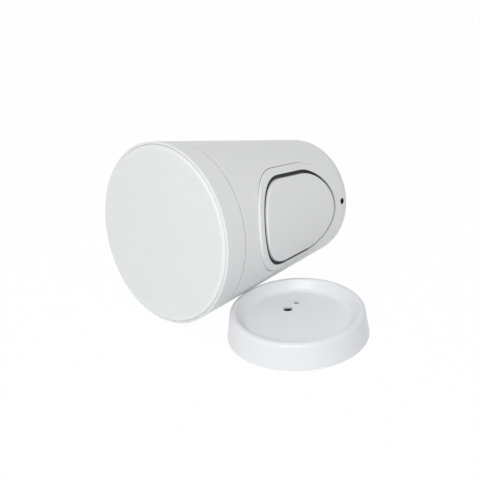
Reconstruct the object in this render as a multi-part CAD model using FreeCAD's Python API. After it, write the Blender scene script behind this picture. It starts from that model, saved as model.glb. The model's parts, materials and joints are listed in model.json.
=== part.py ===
"""Pendant speaker lying on its side, with its ceiling canopy on the floor beside it. Millimetres, +Z up."""
import FreeCAD, Part
import math
import os
from FreeCAD import Placement, Rotation, Vector

# Tapered housing
FRONT_R = 83.0
REAR_R = 51.4
BODY_L = 195.0
REAR_FILLET = 24.0
WALL = 3.0
SEAM_Z = 25.5
SEAM_CHAMFER = 0.45
TONGUE_L = 4.0
LIP_ROUND = 1.0

# Small gap between pieces that are fixed to each other, and the gap beside a piece that moves
FIT = 0.05
CLEAR = 0.3

# Grille pan in the front recess
GRILLE_GAP = 0.4
GRILLE_LIP = 2.5
GRILLE_T = 0.9
GRILLE_PROUD = 1.9
GRILLE_ROUND = 2.0
GRILLE_DEPTH = 7.0
SCRIM_T = 0.35
MAGNET_R = 4.0
MAGNET_T = 3.0
MAGNET_INSET = 8.0
MAGNET_POST_WALL = 0.8
MAGNET_COUNT = 6
MAGNET_START = 15.0

# Baffle plate behind the grille
PLATE_Z = 14.0
PLATE_T = 5.0
STEP_W = 2.3
SCREW_INSET = 10.5
SCREW_COUNT = 6
SCREW_START = 30.0
SCREW_R = 1.7
SCREW_L = 26.0
HEAD_R = 3.2
HEAD_H = 2.2
BOSS_R = 4.2
BOSS_END = 47.0
RIB_T = 3.0
GASKET_T = 1.0

# Bass ports
PORT_INSET = 16.5
PORT_ANGLES = (120.0, 240.0)
PORT_R = 6.0
PORT_WALL = 1.5
PORT_L = 34.0
PORT_FLARE = 2.2
PORT_MARGIN = 0.55

# Woofer
FLANGE_W = 7.7
FLANGE_T = 2.2
BASKET_T = 1.6
BASKET_L = 37.0
BASKET_END_R = 33.0
BASKET_WINDOWS = 4
WINDOW_ANGLE = 60.0
LANDING_W = 6.5
LANDING_H = 6.0
BASE_T = 2.0
CONE_RIM = 2.7
CONE_T = 0.8
CONE_DEPTH = 24.2
ROLL_W = 4.7
ROLL_R = 2.8
SURROUND_T = 0.8
SURROUND_LIP = 2.6
POLE_R = 12.0
FORMER_GAP = 0.5
FORMER_T = 0.4
WINDING_T = 0.4
WINDING_L = 11.0
FORMER_L = 25.0
TOP_PLATE_R = 32.0
TOP_PLATE_T = 5.0
MAG_R = 36.0
MAG_BORE = 18.0
MAG_T = 14.0
YOKE_R = 33.0
YOKE_T = 5.0
YOKE_BORE = 3.2
SPIDER_T = 0.5
SPIDER_WAVE = 1.4
DRIVER_SCREW_INSET = 3.5
DRIVER_SCREWS = 4
DRIVER_SCREW_START = 45.0
DRIVER_HEAD_R = 2.6
DRIVER_SCREW_R = 1.4
DRIVER_SCREW_L = 8.0

# Tweeter on a post in front of the pole
POST_R = 6.0
TWEETER_R = 15.0
TWEETER_FRONT = 7.0
TWEETER_L = 13.0
TWEETER_WALL = 2.6
DOME_R = 10.2
DOME_RISE = 3.6
DOME_T = 0.4
DOME_SEAT = 4.6
TWEETER_MAGNET_T = 5.0

# Terminal cover and the raised pad round it, on one side of the housing
DOOR_MID_Z = 108.2
DOOR_L = 114.7
DOOR_FRONT_R = 40.9
DOOR_REAR_R = 38.5
DOOR_GAP = 3.4
DOOR_PROUD = 1.2
DOOR_T = 2.8
DOOR_ROUND = 1.2
SKIRT_T = 2.0
PAD_BORDER = 5.8
PAD_RISE = 0.6
PAD_FALL = 1.1
PAD_ROUND = 0.5
PAD_ROOT = 33.0
LEDGE_DEPTH = 7.0
LEDGE_T = 3.0
POCKET_WALL = 3.0
SEAL_DROP = 1.3
CLIP_W = 10.0
CLIP_T = 1.6
CLIP_L = 10.0
CLIP_U = 4.0

# Terminal tray under the cover
TRAY_FRONT = -17.0
TRAY_CORNER = 5.0
TRAY_DEPTH = 38.0
TRAY_WALL = 2.0
TRAY_FLOOR = 2.5
TRAY_FLANGE = 4.6
TRAY_FLANGE_T = 2.0
TRAY_SCREW_R = 1.2
TRAY_SCREW_L = 7.0
TRAY_HEAD_R = 2.0
TRAY_HEAD_H = 1.2
TRAY_SCREW_U = (-8.0, 17.0)

# Plug-in terminal block
POLES = 4
PITCH = 5.08
HEADER_MARGIN = 2.8
HEADER_L = 11.0
HEADER_H = 12.4
HEADER_WALL = 1.0
PLUG_V = -12.0
PLUG_NOSE = 7.0
PLUG_L = 15.0
PLUG_H = 10.0
PIN_R = 0.6
PLUG_SCREW_R = 1.5
PLUG_SCREW_H = 0.6

# Power tap switch
TAP_U = 8.0
TAP_V = 13.0
TAP_BODY = 20.0
TAP_BODY_H = 13.0
SPINDLE_R = 3.0
SPINDLE_GAP = 0.05
KNOB_R = 8.5
KNOB_H = 13.0
KNOB_LIFT = 1.0
POINTER_T = 2.6

# Crossover on the back of the tray
BOARD_MARGIN = 8.4
BOARD_W = 25.0
BOARD_V = -11.0
BOARD_T = 1.6
STANDOFF_H = 5.0
STANDOFF_R = 2.4
STANDOFF_INSET = 9.0
COIL_INSET = 14.5
COIL_R = 7.0
SMALL_COIL_R = 5.0
COIL_BORE = 3.0
COIL_H = 11.0
CAP_INSET = 10.3
CAP_R = 4.5
CAP_L = 10.0

# Line transformer low on the wall away from the cover
CORE_ANGLE = 130.0
CORE_MID_Z = 122.0
CORE_L = 42.0
CORE_W = 28.0
CORE_H = 35.0
CORE_LEG = 14.0
CORE_YOKE = 7.0
COIL_OVERHANG = 8.0
COIL_ROUND = 5.0
STRAP_T = 1.5
FOOT_L = 10.0
STRAP_BOSS_H = 8.0
STRAP_BOSS_R = 4.5
STRAP_SCREW_L = 8.0

# Hanging point in the rear face
HANG_HOLE_R = 2.55
HANG_R = 6.5
HANG_FLANGE_R = 9.5
HANG_FLANGE_T = 3.0
HANG_RECESS = 0.5
HANG_TAIL = 2.0
HANG_PLATE_R = 25.0
HANG_PLATE_T = 3.0
HANG_BOSS_H = 6.0
HANG_BOSS_R = 3.8
HANG_SCREW_RING_R = 18.5
HANG_SCREWS = 3
HANG_SCREW_START = 60.0
HANG_SCREW_L = 6.0

# Threaded insert for a safety line, in the small side hole behind the cover
SAFETY_Z = 175.3
SAFETY_MOUTH_R = 2.9
SAFETY_HOLE_R = 2.1
SAFETY_R = 4.0
SAFETY_L = 9.0
SAFETY_SUNK = 2.5
SAFETY_BOSS_WALL = 2.4

# Lead entry in the rear face
LEAD_X = 23.0
LEAD_R = 4.4
CONDUIT_WALL = 1.5
BUSH_R = 7.4
BUSH_T = 1.2
CONDUIT_FLANGE_R = 8.2
CONDUIT_FLANGE_T = 1.5
CONDUIT_REACH = 5.0

# Wadding on the inner wall
LINING_T = 8.0
LINING_FRONT = 82.0
LINING_REAR = 166.0
LINING_SWEEP = 45.0
LINING_STARTS = (55.0, 260.0)

# Ceiling canopy
CANOPY_R = 63.0
CANOPY_TOP_R = 60.2
CANOPY_H = 24.3
CANOPY_ROUND = 4.0
CANOPY_WALL = 2.0
DISH_R = 48.0
DISH_DEPTH = 9.0
DISH_CROWN = 1.6
DISH_FILLET = 6.0
RIM_FLAT = 1.0
BROW_ROUND = 1.6
BROW_BEND = 0.43
LEAD_HOLE_R = 4.2
LEAD_HOLE_AT = (4.4, 16.5)
WIRE_HOLE_R = 2.4
WIRE_HOLE_AT = (17.7, 18.9)
CANOPY_ALONG = 51.1
CANOPY_GAP = 0.35

# How the housing lies: the cover faces sideways, turned up by this angle
DOOR_TURN = 11.5

TAPER = (FRONT_R - REAR_R) / BODY_L
LEAN = math.atan(TAPER)
DOOR_TILT = math.degrees(LEAN) + PAD_FALL
FULL_TURN = 360.0
PLATE_BACK = PLATE_Z + PLATE_T
TONGUE_END = SEAM_Z + TONGUE_L
REBATE_END = TONGUE_END + GASKET_T
RECESS_R = FRONT_R - GRILLE_LIP
GRILLE_R = RECESS_R - GRILLE_GAP
MAGNET_RING_R = RECESS_R - MAGNET_INSET
SCREW_RING_R = RECESS_R - SCREW_INSET
PORT_RING_R = RECESS_R - PORT_INSET
FLANGE_R = PORT_RING_R - PORT_R - PORT_FLARE - PORT_WALL / 2 - PORT_MARGIN
CUTOUT_R = FLANGE_R - FLANGE_W
CONE_R = CUTOUT_R - CLEAR - BASKET_T - ROLL_W
DRIVER_SCREW_RING_R = FLANGE_R - DRIVER_SCREW_INSET
STEP_Z = GRILLE_DEPTH + CLEAR
SCRIM_BACK = GRILLE_T - GRILLE_PROUD + FIT + SCRIM_T
FLANGE_BACK = PLATE_Z - GASKET_T
FLANGE_FRONT = FLANGE_BACK - FLANGE_T
BASKET_BACK = FLANGE_BACK + BASKET_L
LANDING_Z = BASKET_BACK - LANDING_H
FORMER_R = POLE_R + FORMER_GAP
TOP_PLATE_BORE = FORMER_R + FORMER_T + WINDING_T + FORMER_GAP
MAG_Z = BASKET_BACK + TOP_PLATE_T
YOKE_Z = MAG_Z + MAG_T
NECK_Z = FLANGE_FRONT + CONE_DEPTH
TWEETER_BACK = TWEETER_FRONT + TWEETER_L
TRAY_MARGIN = DOOR_GAP + SKIRT_T + TRAY_FLANGE + 2 * CLEAR
TRAY_REAR = DOOR_L / 2 - TRAY_MARGIN
DOOR_NEAR = DOOR_FRONT_R - DOOR_L / 2
DOOR_FAR = DOOR_L / 2 - DOOR_REAR_R
DOOR_LEAN = math.asin((DOOR_FRONT_R - DOOR_REAR_R) / (DOOR_FAR - DOOR_NEAR))
DEEP = FRONT_R / 2
BOARD_U = (TRAY_FRONT + TRAY_REAR) / 2
BOARD_L = TRAY_REAR - TRAY_FRONT - BOARD_MARGIN
HEADER_U = TRAY_FRONT + CLEAR + TRAY_WALL + HEADER_MARGIN
TRAY_FLOOR_N = -LEDGE_DEPTH - TRAY_DEPTH
TRAY_BACK_N = TRAY_FLOOR_N - TRAY_FLOOR
BOARD_N = TRAY_BACK_N - STANDOFF_H
STRAP_N = -WALL - STRAP_BOSS_H
REAR_INNER = BODY_L - WALL
HANG_PLATE_Z = REAR_INNER - HANG_BOSS_H
CONDUIT_R = LEAD_R + CONDUIT_WALL


def outer_r(z):
    """Outside radius of the housing at a distance behind its front edge."""
    return FRONT_R - TAPER * z


def wall_r(z, depth):
    """Radius of the surface that lies a depth inside the housing's outside."""
    return outer_r(z) - depth / math.cos(LEAN)


def turned(path, sweep=FULL_TURN, start=0.0):
    """Solid turned about Z from (radius, z) points; four numbers are an arc's middle and its end."""
    edges = []
    last = Vector(path[0][0], 0, path[0][1])
    for step in path[1:] + path[:1]:
        end = Vector(step[-2], 0, step[-1])
        if len(step) == 4:
            edges.append(Part.Arc(last, Vector(step[0], 0, step[1]), end).toShape())
        else:
            edges.append(Part.LineSegment(last, end).toShape())
        last = end
    solid = Part.Face(Part.Wire(edges)).revolve(Vector(0, 0, 0), Vector(0, 0, 1), sweep)
    solid.rotate(Vector(0, 0, 0), Vector(0, 0, 1), start)
    return solid


def dome_z(base_r, rise, r):
    """Height of a domed face over its base, at a distance from its middle."""
    ball = (base_r ** 2 + rise ** 2) / (2 * rise)
    return rise - ball + math.sqrt(ball ** 2 - r ** 2)


def tube(outer, inner, z0, z1):
    """Ring about Z between two radii and two heights."""
    return turned([(inner, z0), (outer, z0), (outer, z1), (inner, z1)])


def rod(radius, z0, z1, x=0.0, y=0.0):
    """Cylinder along Z between two heights."""
    return Part.makeCylinder(radius, z1 - z0, Vector(x, y, z0))


def block(x0, x1, y0, y1, z0, z1):
    """Box between two corners."""
    return Part.makeBox(x1 - x0, y1 - y0, z1 - z0, Vector(x0, y0, z0))


def on_ring(shape, radius, count, start=0.0):
    """Copies of a shape spread evenly round Z at a radius."""
    return [spun(shape, radius, start + FULL_TURN * k / count) for k in range(count)]


def spun(shape, radius, angle):
    """Copy of a shape moved out along X and turned about Z."""
    copy = shape.copy()
    copy.translate(Vector(radius, 0, 0))
    copy.rotate(Vector(0, 0, 0), Vector(0, 0, 1), angle)
    return copy


def group(shapes):
    """Separate solids kept together."""
    return Part.makeCompound(shapes)


def moved(shape, placement):
    """Copy of a shape carried by a placement."""
    copy = shape.copy()
    copy.transformShape(placement.toMatrix(), True)
    return copy


def facing(origin, x_dir, z_dir):
    """Placement that turns a piece's own X and Z to two directions."""
    return Placement(origin, Rotation(x_dir, z_dir.cross(x_dir), z_dir, "ZXY"))


def wall_frame(angle, z, rise, tilt):
    """Frame on the housing's side: X along the side to the rear, Z straight out of it."""
    lean = math.radians(tilt)
    out = Vector(math.cos(lean), 0, math.sin(lean))
    along = Vector(-math.sin(lean), 0, math.cos(lean))
    turn = Placement(Vector(0, 0, 0), Rotation(Vector(0, 0, 1), angle))
    return turn * facing(Vector(outer_r(z) + rise, 0, z), along, out)


DOOR = wall_frame(0.0, DOOR_MID_Z, PAD_RISE, DOOR_TILT)
CORE = wall_frame(CORE_ANGLE, CORE_MID_Z, 0.0, math.degrees(LEAN))
SAFETY = wall_frame(0.0, SAFETY_Z, 0.0, math.degrees(LEAN))


def rear_arc(depth):
    """Points where the rounded rear edge starts, passes its middle and ends, a depth inside the outside."""
    radius = REAR_FILLET - depth
    z = BODY_L - REAR_FILLET
    r = wall_r(z, REAR_FILLET)
    middle = (LEAN + math.pi / 2) / 2
    start = (r + radius * math.cos(LEAN), z + radius * math.sin(LEAN))
    return start, (r + radius * math.cos(middle), z + radius * math.sin(middle), r, z + radius)


def housing_form(depth, front):
    """Solid cone with the rounded rear, a depth inside the outside, from a distance behind the front."""
    start, bend = rear_arc(depth)
    return turned([(0, front), (wall_r(front, depth), front), start, bend, (0, BODY_L - depth)])


def pad_r(z):
    """Outside radius of the pad, a little steeper than the housing, so it sinks in at its rear."""
    return outer_r(DOOR_MID_Z) + PAD_RISE - math.tan(math.radians(DOOR_TILT)) * (z - DOOR_MID_Z)


def side_v(u, inset):
    """Half width of the cover's outline between its two round ends, drawn in by an inset."""
    reach = DOOR_FRONT_R - inset + (DOOR_NEAR - u) * math.sin(DOOR_LEAN)
    return reach / math.cos(DOOR_LEAN)


def egg(inset):
    """Flat outline of the cover, drawn in by an inset: two round ends and straight sides."""
    front_r = DOOR_FRONT_R - inset
    rear_r = DOOR_REAR_R - inset
    across = Vector(math.sin(DOOR_LEAN), math.cos(DOOR_LEAN), 0)
    mirrored = Vector(across.x, -across.y, 0)
    near = Vector(DOOR_NEAR, 0, 0)
    far = Vector(DOOR_FAR, 0, 0)
    points = [
        near + mirrored * front_r, near + across * front_r,
        far + across * rear_r, far + mirrored * rear_r]
    edges = [
        Part.Arc(points[0], Vector(DOOR_NEAR - front_r, 0, 0), points[1]).toShape(),
        Part.LineSegment(points[1], points[2]).toShape(),
        Part.Arc(points[2], Vector(DOOR_FAR + rear_r, 0, 0), points[3]).toShape(),
        Part.LineSegment(points[3], points[0]).toShape(),
    ]
    return Part.Face(Part.Wire(edges))


def door_prism(inset, low, high):
    """Upright block on the cover's outline, drawn in by an inset."""
    face = egg(inset)
    face.translate(Vector(0, 0, low))
    return face.extrude(Vector(0, 0, high - low))


def tray_prism(inset, low, high):
    """Upright block on the tray's outline, drawn in by an inset: the cover's, cut straight at its front."""
    front = TRAY_FRONT + inset
    solid = door_prism(TRAY_MARGIN + inset, low, high)
    solid = solid.common(block(front, DOOR_L, -DOOR_L, DOOR_L, low, high))
    upright = [e for e in solid.Edges
               if e.BoundBox.XMax - front < FIT and e.BoundBox.ZLength > (high - low) / 2]
    return solid.makeFillet(TRAY_CORNER - inset, upright)


def crown(height):
    """Cone about the housing's axis, as wide as the pad and a height more, in the cover's frame."""
    more = height / math.cos(math.radians(DOOR_TILT))
    path = [(0, 0), (pad_r(0) + more, 0), (pad_r(BODY_L) + more, BODY_L), (0, BODY_L)]
    return moved(turned(path, FULL_TURN, FULL_TURN / 2), DOOR.inverse())


def crown_n(u, v, height):
    """Height of a crowned surface over the cover's plane, at a place on it."""
    tilt = math.radians(DOOR_TILT)
    fall = math.tan(tilt)
    x = pad_r(DOOR_MID_Z) - u * math.sin(tilt)
    r = pad_r(DOOR_MID_Z + u * math.cos(tilt)) + height / math.cos(tilt)
    a = math.cos(tilt) ** 2 - (fall * math.sin(tilt)) ** 2
    b = x * math.cos(tilt) + r * fall * math.sin(tilt)
    return (math.sqrt(b ** 2 - a * (x ** 2 + v ** 2 - r ** 2)) - b) / a


def rounded_top(solid, radius):
    """Rounds the edges where a solid's sides meet its crowned top."""
    top = [f for f in solid.Faces if isinstance(f.Surface, Part.Cone)]
    return solid.makeFillet(radius, top[0].OuterWire.Edges)


def pad():
    """Raised surround of the cover, reaching down into the housing."""
    return rounded_top(door_prism(-PAD_BORDER, -PAD_ROOT, DEEP).common(crown(0.0)), PAD_ROUND)


def screw_boss():
    """Pillar for a baffle screw with a rib to the wall."""
    pillar = rod(BOSS_R, PLATE_BACK, BOSS_END)
    rib = block(0, outer_r(BOSS_END) - SCREW_RING_R, -RIB_T / 2, RIB_T / 2, REBATE_END, BOSS_END)
    return pillar.fuse(rib)


def rear_shell():
    """Tapered shell with the pad, the cover's recess and all its bosses."""
    form = housing_form(0.0, SEAM_Z)
    kept = door_prism(-POCKET_WALL, -DEEP, DEEP).cut(crown(-LEDGE_DEPTH - LEDGE_T))
    hollow = housing_form(WALL, 0.0).cut(moved(kept, DOOR))
    shell = form.fuse(moved(pad(), DOOR)).cut(hollow)
    bosses = on_ring(screw_boss(), SCREW_RING_R, SCREW_COUNT, SCREW_START)
    hang_boss = rod(HANG_BOSS_R, HANG_PLATE_Z, REAR_INNER)
    bosses += on_ring(hang_boss, HANG_SCREW_RING_R, HANG_SCREWS, HANG_SCREW_START)
    for side in (-1, 1):
        bosses.append(moved(rod(STRAP_BOSS_R, STRAP_N, -WALL / 2, strap_foot(side)), CORE))
    bosses.append(moved(rod(SAFETY_R + SAFETY_BOSS_WALL, -SAFETY_SUNK - SAFETY_L, -WALL / 2), SAFETY))
    shell = shell.multiFuse(bosses)
    chamfer = turned([
        (outer_r(SEAM_Z) - SEAM_CHAMFER, SEAM_Z), (outer_r(SEAM_Z) + SEAM_CHAMFER, SEAM_Z),
        (outer_r(SEAM_Z) + SEAM_CHAMFER, SEAM_Z + 2 * SEAM_CHAMFER)])
    rebate = turned([
        (wall_r(SEAM_Z, WALL + FIT), SEAM_Z), (wall_r(SEAM_Z, WALL / 2), SEAM_Z),
        (wall_r(REBATE_END, WALL / 2), REBATE_END), (wall_r(REBATE_END, WALL + FIT), REBATE_END)])
    recess = door_prism(0.0, -DEEP, DEEP).cut(crown(-LEDGE_DEPTH))
    cuts = [chamfer, rebate, moved(recess, DOOR), moved(tray_prism(0.0, -DEEP, DEEP), DOOR)]
    screw_hole = rod(SCREW_R + FIT, PLATE_BACK, PLATE_Z + SCREW_L + FIT)
    cuts += on_ring(screw_hole, SCREW_RING_R, SCREW_COUNT, SCREW_START)
    hang_hole = rod(SCREW_R + FIT, HANG_PLATE_Z, HANG_PLATE_Z + HANG_SCREW_L - HANG_PLATE_T + FIT)
    cuts += on_ring(hang_hole, HANG_SCREW_RING_R, HANG_SCREWS, HANG_SCREW_START)
    cuts.append(rod(HANG_R + FIT, REAR_INNER - FIT, BODY_L + FIT))
    cuts.append(rod(CONDUIT_R + FIT, REAR_INNER - FIT, BODY_L + FIT, LEAD_X))
    for side in (-1, 1):
        depth = STRAP_N + STRAP_SCREW_L - STRAP_T
        cuts.append(moved(rod(SCREW_R + FIT, STRAP_N, depth + FIT, strap_foot(side)), CORE))
    cuts.append(moved(rod(SAFETY_MOUTH_R, -SAFETY_SUNK, WALL), SAFETY))
    cuts.append(moved(rod(SAFETY_R + FIT, -SAFETY_SUNK - SAFETY_L, -SAFETY_SUNK), SAFETY))
    for u, v in tray_screw_places():
        cuts.append(moved(rod(TRAY_SCREW_R + FIT, -DEEP, 0, u, v), DOOR))
    return shell.cut(group(cuts))


def front_baffle():
    """Front band with the grille's recess, the plate that carries the woofer and the magnet posts."""
    edge = outer_r(LIP_ROUND)
    bend = LIP_ROUND * (1 - math.sqrt(0.5))
    body = turned([
        (CUTOUT_R, PLATE_Z), (RECESS_R - STEP_W, PLATE_Z), (RECESS_R - STEP_W, STEP_Z), (RECESS_R, STEP_Z),
        (RECESS_R, LIP_ROUND), (RECESS_R + bend, bend, RECESS_R + LIP_ROUND, 0), (edge - LIP_ROUND, 0),
        (edge - bend, bend, edge, LIP_ROUND),
        (outer_r(SEAM_Z - SEAM_CHAMFER), SEAM_Z - SEAM_CHAMFER), (outer_r(SEAM_Z) - SEAM_CHAMFER, SEAM_Z),
        (wall_r(SEAM_Z, WALL / 2 + FIT), SEAM_Z), (wall_r(TONGUE_END, WALL / 2 + FIT), TONGUE_END),
        (wall_r(TONGUE_END, WALL), TONGUE_END), (wall_r(PLATE_BACK, WALL), PLATE_BACK),
        (CUTOUT_R, PLATE_BACK)])
    top = SCRIM_BACK + CLEAR
    post = rod(MAGNET_R + FIT + MAGNET_POST_WALL, top, PLATE_Z + PLATE_T / 2)
    post = post.cut(rod(MAGNET_R + FIT, top, top + MAGNET_T))
    posts = on_ring(post, MAGNET_RING_R, MAGNET_COUNT, MAGNET_START)
    holes = on_ring(rod(SCREW_R + FIT, PLATE_Z, PLATE_BACK), SCREW_RING_R, SCREW_COUNT, SCREW_START)
    holes += [spun(rod(PORT_R + PORT_WALL + FIT, PLATE_Z, PLATE_BACK), PORT_RING_R, a) for a in PORT_ANGLES]
    driver_hole = rod(DRIVER_SCREW_R + FIT, PLATE_Z, PLATE_Z + DRIVER_SCREW_L)
    holes += on_ring(driver_hole, DRIVER_SCREW_RING_R, DRIVER_SCREWS, DRIVER_SCREW_START)
    return body.multiFuse(posts).cut(group(holes))


def baffle_gasket():
    """Soft ring squeezed between the band's tongue and the shell."""
    return turned([
        (wall_r(TONGUE_END, WALL), TONGUE_END), (wall_r(TONGUE_END, WALL / 2 + FIT), TONGUE_END),
        (wall_r(REBATE_END, WALL / 2 + FIT), REBATE_END), (wall_r(REBATE_END, WALL), REBATE_END)])


def pan_screw(radius, length, head_r, head_h):
    """Screw along Z with its head in front of the plane z = 0."""
    return rod(radius, 0, length).fuse(rod(head_r, -head_h, 0))


def lifted(shape, z):
    """Copy of a shape moved along Z."""
    return moved(shape, Placement(Vector(0, 0, z), Rotation()))


def baffle_screws():
    """Screws that hold the front band to the shell."""
    screw = lifted(pan_screw(SCREW_R, SCREW_L, HEAD_R, HEAD_H), PLATE_Z)
    return group(on_ring(screw, SCREW_RING_R, SCREW_COUNT, SCREW_START))


def grille():
    """Pressed steel pan with a rounded edge; its perforation is too fine to model."""
    flat = GRILLE_R - GRILLE_ROUND
    face = -GRILLE_PROUD
    bend = GRILLE_ROUND - GRILLE_T
    half = math.sqrt(0.5)
    rise = face + GRILLE_ROUND
    return turned([
        (0, face), (flat, face), (flat + GRILLE_ROUND * half, rise - GRILLE_ROUND * half, GRILLE_R, rise),
        (GRILLE_R, GRILLE_DEPTH), (GRILLE_R - GRILLE_T, GRILLE_DEPTH), (GRILLE_R - GRILLE_T, rise),
        (flat + bend * half, rise - bend * half, flat, face + GRILLE_T), (0, face + GRILLE_T)])


def grille_scrim():
    """Thin cloth behind the perforated face."""
    return rod(GRILLE_R - GRILLE_ROUND, SCRIM_BACK - SCRIM_T, SCRIM_BACK)


def grille_magnets():
    """Magnets sunk in the posts, which hold the steel pan."""
    top = SCRIM_BACK + CLEAR
    return group(on_ring(rod(MAGNET_R, top, top + MAGNET_T), MAGNET_RING_R, MAGNET_COUNT, MAGNET_START))


def port_tubes():
    """Two bass ports with rounded mouths."""
    out = PORT_R + PORT_WALL
    bend = PORT_FLARE * (1 - math.sqrt(0.5))
    mouth = PORT_R + PORT_FLARE
    tube_end = PLATE_Z + PORT_L
    front = PLATE_Z - PORT_FLARE / 2
    path = [
        (PORT_R, front + PORT_FLARE), (PORT_R + bend, front + bend, mouth, front),
        (mouth + PORT_WALL / 2, PLATE_Z), (out, PLATE_Z), (out, tube_end), (PORT_R, tube_end)]
    return group([spun(turned(path), PORT_RING_R, a) for a in PORT_ANGLES])


def woofer_gasket():
    """Foam ring under the woofer's flange."""
    ring = tube(FLANGE_R - FIT, CUTOUT_R, FLANGE_BACK, PLATE_Z)
    hole = rod(DRIVER_SCREW_R + FIT, FLANGE_BACK, PLATE_Z)
    return ring.cut(group(on_ring(hole, DRIVER_SCREW_RING_R, DRIVER_SCREWS, DRIVER_SCREW_START)))


def woofer_frame():
    """Pressed basket with a flange, open windows and a landing for the spider."""
    throat = CUTOUT_R - CLEAR
    inner = throat - BASKET_T
    landing = BASKET_END_R - BASKET_T
    frame = turned([
        (inner, FLANGE_FRONT), (FLANGE_R, FLANGE_FRONT), (FLANGE_R, FLANGE_BACK), (throat, FLANGE_BACK),
        (BASKET_END_R, LANDING_Z), (BASKET_END_R, BASKET_BACK), (MAG_BORE, BASKET_BACK),
        (MAG_BORE, BASKET_BACK - BASE_T), (landing - LANDING_W, BASKET_BACK - BASE_T),
        (landing - LANDING_W, LANDING_Z), (landing, LANDING_Z), (inner, FLANGE_BACK)])
    low = FLANGE_BACK + LANDING_H
    high = LANDING_Z - LANDING_H
    opening = [(landing - LANDING_W, low), (FLANGE_R, low), (FLANGE_R, high), (landing - LANDING_W, high)]
    window = turned(opening, WINDOW_ANGLE, -WINDOW_ANGLE / 2)
    hole = rod(DRIVER_SCREW_R + FIT, FLANGE_FRONT, FLANGE_BACK)
    cuts = on_ring(window, 0.0, BASKET_WINDOWS)
    cuts += on_ring(hole, DRIVER_SCREW_RING_R, DRIVER_SCREWS, DRIVER_SCREW_START)
    return frame.cut(group(cuts))


def woofer_screws():
    """Screws through the woofer's flange."""
    length = FLANGE_T + GASKET_T + DRIVER_SCREW_L
    screw = lifted(pan_screw(DRIVER_SCREW_R, length - CLEAR, DRIVER_HEAD_R, FLANGE_T), FLANGE_FRONT)
    return group(on_ring(screw, DRIVER_SCREW_RING_R, DRIVER_SCREWS, DRIVER_SCREW_START))


def woofer_cone():
    """Paper cone with a curved flank and a flat rim for the surround."""
    rim = CONE_R - CONE_RIM
    neck = FORMER_R + FORMER_T + FIT
    mid_r = (rim + neck) / 2
    mid_z = (FLANGE_FRONT + NECK_Z) / 2 - CONE_T
    return turned([
        (neck, NECK_Z), (mid_r, mid_z, rim, FLANGE_FRONT), (CONE_R, FLANGE_FRONT),
        (CONE_R, FLANGE_FRONT + CONE_T), (rim + CONE_T / 2, FLANGE_FRONT + CONE_T),
        (mid_r + CONE_T / 2, mid_z + CONE_T, neck, NECK_Z + 1.5 * CONE_T)])


def woofer_surround():
    """Rubber half roll between the cone's rim and the flange."""
    inner = CUTOUT_R - CLEAR - BASKET_T
    mid = (CONE_R + inner) / 2
    half = (inner - CONE_R) / 2
    out = half + SURROUND_T
    front = FLANGE_FRONT - SURROUND_T
    return turned([
        (CONE_R - CONE_RIM + FIT, front), (mid - out, front), (mid, front - ROLL_R, mid + out, front),
        (inner + SURROUND_LIP, front), (inner + SURROUND_LIP, FLANGE_FRONT), (mid + half, FLANGE_FRONT),
        (mid, FLANGE_FRONT - ROLL_R, mid - half, FLANGE_FRONT), (CONE_R - CONE_RIM + FIT, FLANGE_FRONT)])


def spider():
    """Corrugated cloth ring that centres the voice coil."""
    inner = FORMER_R + FORMER_T + FIT
    outer = BASKET_END_R - BASKET_T - FIT
    flat = outer - LANDING_W + FIT
    step = (flat - inner) / 5
    waves = [inner + step * k for k in range(1, 5)]
    front = [(inner, LANDING_Z - SPIDER_T)]
    front += [(r, LANDING_Z - SPIDER_T + SPIDER_WAVE * (-1) ** k) for k, r in enumerate(waves)]
    front += [(flat, LANDING_Z - SPIDER_T), (outer, LANDING_Z - SPIDER_T)]
    return turned(front + [(r, z + SPIDER_T) for r, z in reversed(front)])


def voice_coil():
    """Former with its winding in the magnet's gap."""
    middle = BASKET_BACK + TOP_PLATE_T / 2
    skin = FORMER_R + FORMER_T
    wound = skin + WINDING_T
    return turned([
        (FORMER_R, NECK_Z), (skin, NECK_Z), (skin, middle - WINDING_L / 2), (wound, middle - WINDING_L / 2),
        (wound, middle + WINDING_L / 2), (skin, middle + WINDING_L / 2), (skin, NECK_Z + FORMER_L),
        (FORMER_R, NECK_Z + FORMER_L)])


def woofer_yoke():
    """Steel back plate and pole, bored for the tweeter's post."""
    return turned([
        (YOKE_BORE, BASKET_BACK), (POLE_R, BASKET_BACK), (POLE_R, YOKE_Z), (YOKE_R, YOKE_Z),
        (YOKE_R, YOKE_Z + YOKE_T), (YOKE_BORE, YOKE_Z + YOKE_T)])


def tweeter_post():
    """Stem that stands on the pole and carries the tweeter."""
    stem = YOKE_BORE - FIT
    return turned([
        (0, TWEETER_BACK), (POST_R, TWEETER_BACK), (POST_R, BASKET_BACK), (stem, BASKET_BACK),
        (stem, YOKE_Z + YOKE_T), (0, YOKE_Z + YOKE_T)])


def tweeter_housing():
    """Cup with a flared mouth round the dome."""
    seat = TWEETER_FRONT + DOME_SEAT
    inside = TWEETER_R - TWEETER_WALL
    mouth = DOME_R + CLEAR
    floor = TWEETER_BACK - TWEETER_WALL
    half = TWEETER_WALL / 2
    return turned([
        (0, floor), (inside, floor), (inside, seat), (mouth, seat), (mouth, seat - half),
        (TWEETER_R - half, TWEETER_FRONT), (TWEETER_R, TWEETER_FRONT + half),
        (TWEETER_R, floor - TWEETER_WALL), (inside, TWEETER_BACK), (0, TWEETER_BACK)])


def tweeter_dome():
    """Soft dome with its flat edge behind the mouth."""
    seat = TWEETER_FRONT + DOME_SEAT
    edge = TWEETER_R - TWEETER_WALL - FIT
    back = seat + DOME_T
    mid = dome_z(DOME_R, DOME_RISE, DOME_R / 2)
    return turned([
        (0, seat - DOME_RISE), (DOME_R / 2, seat - mid, DOME_R, seat), (edge, seat), (edge, back),
        (DOME_R, back), (DOME_R / 2, back - mid, 0, back - DOME_RISE)])


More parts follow.
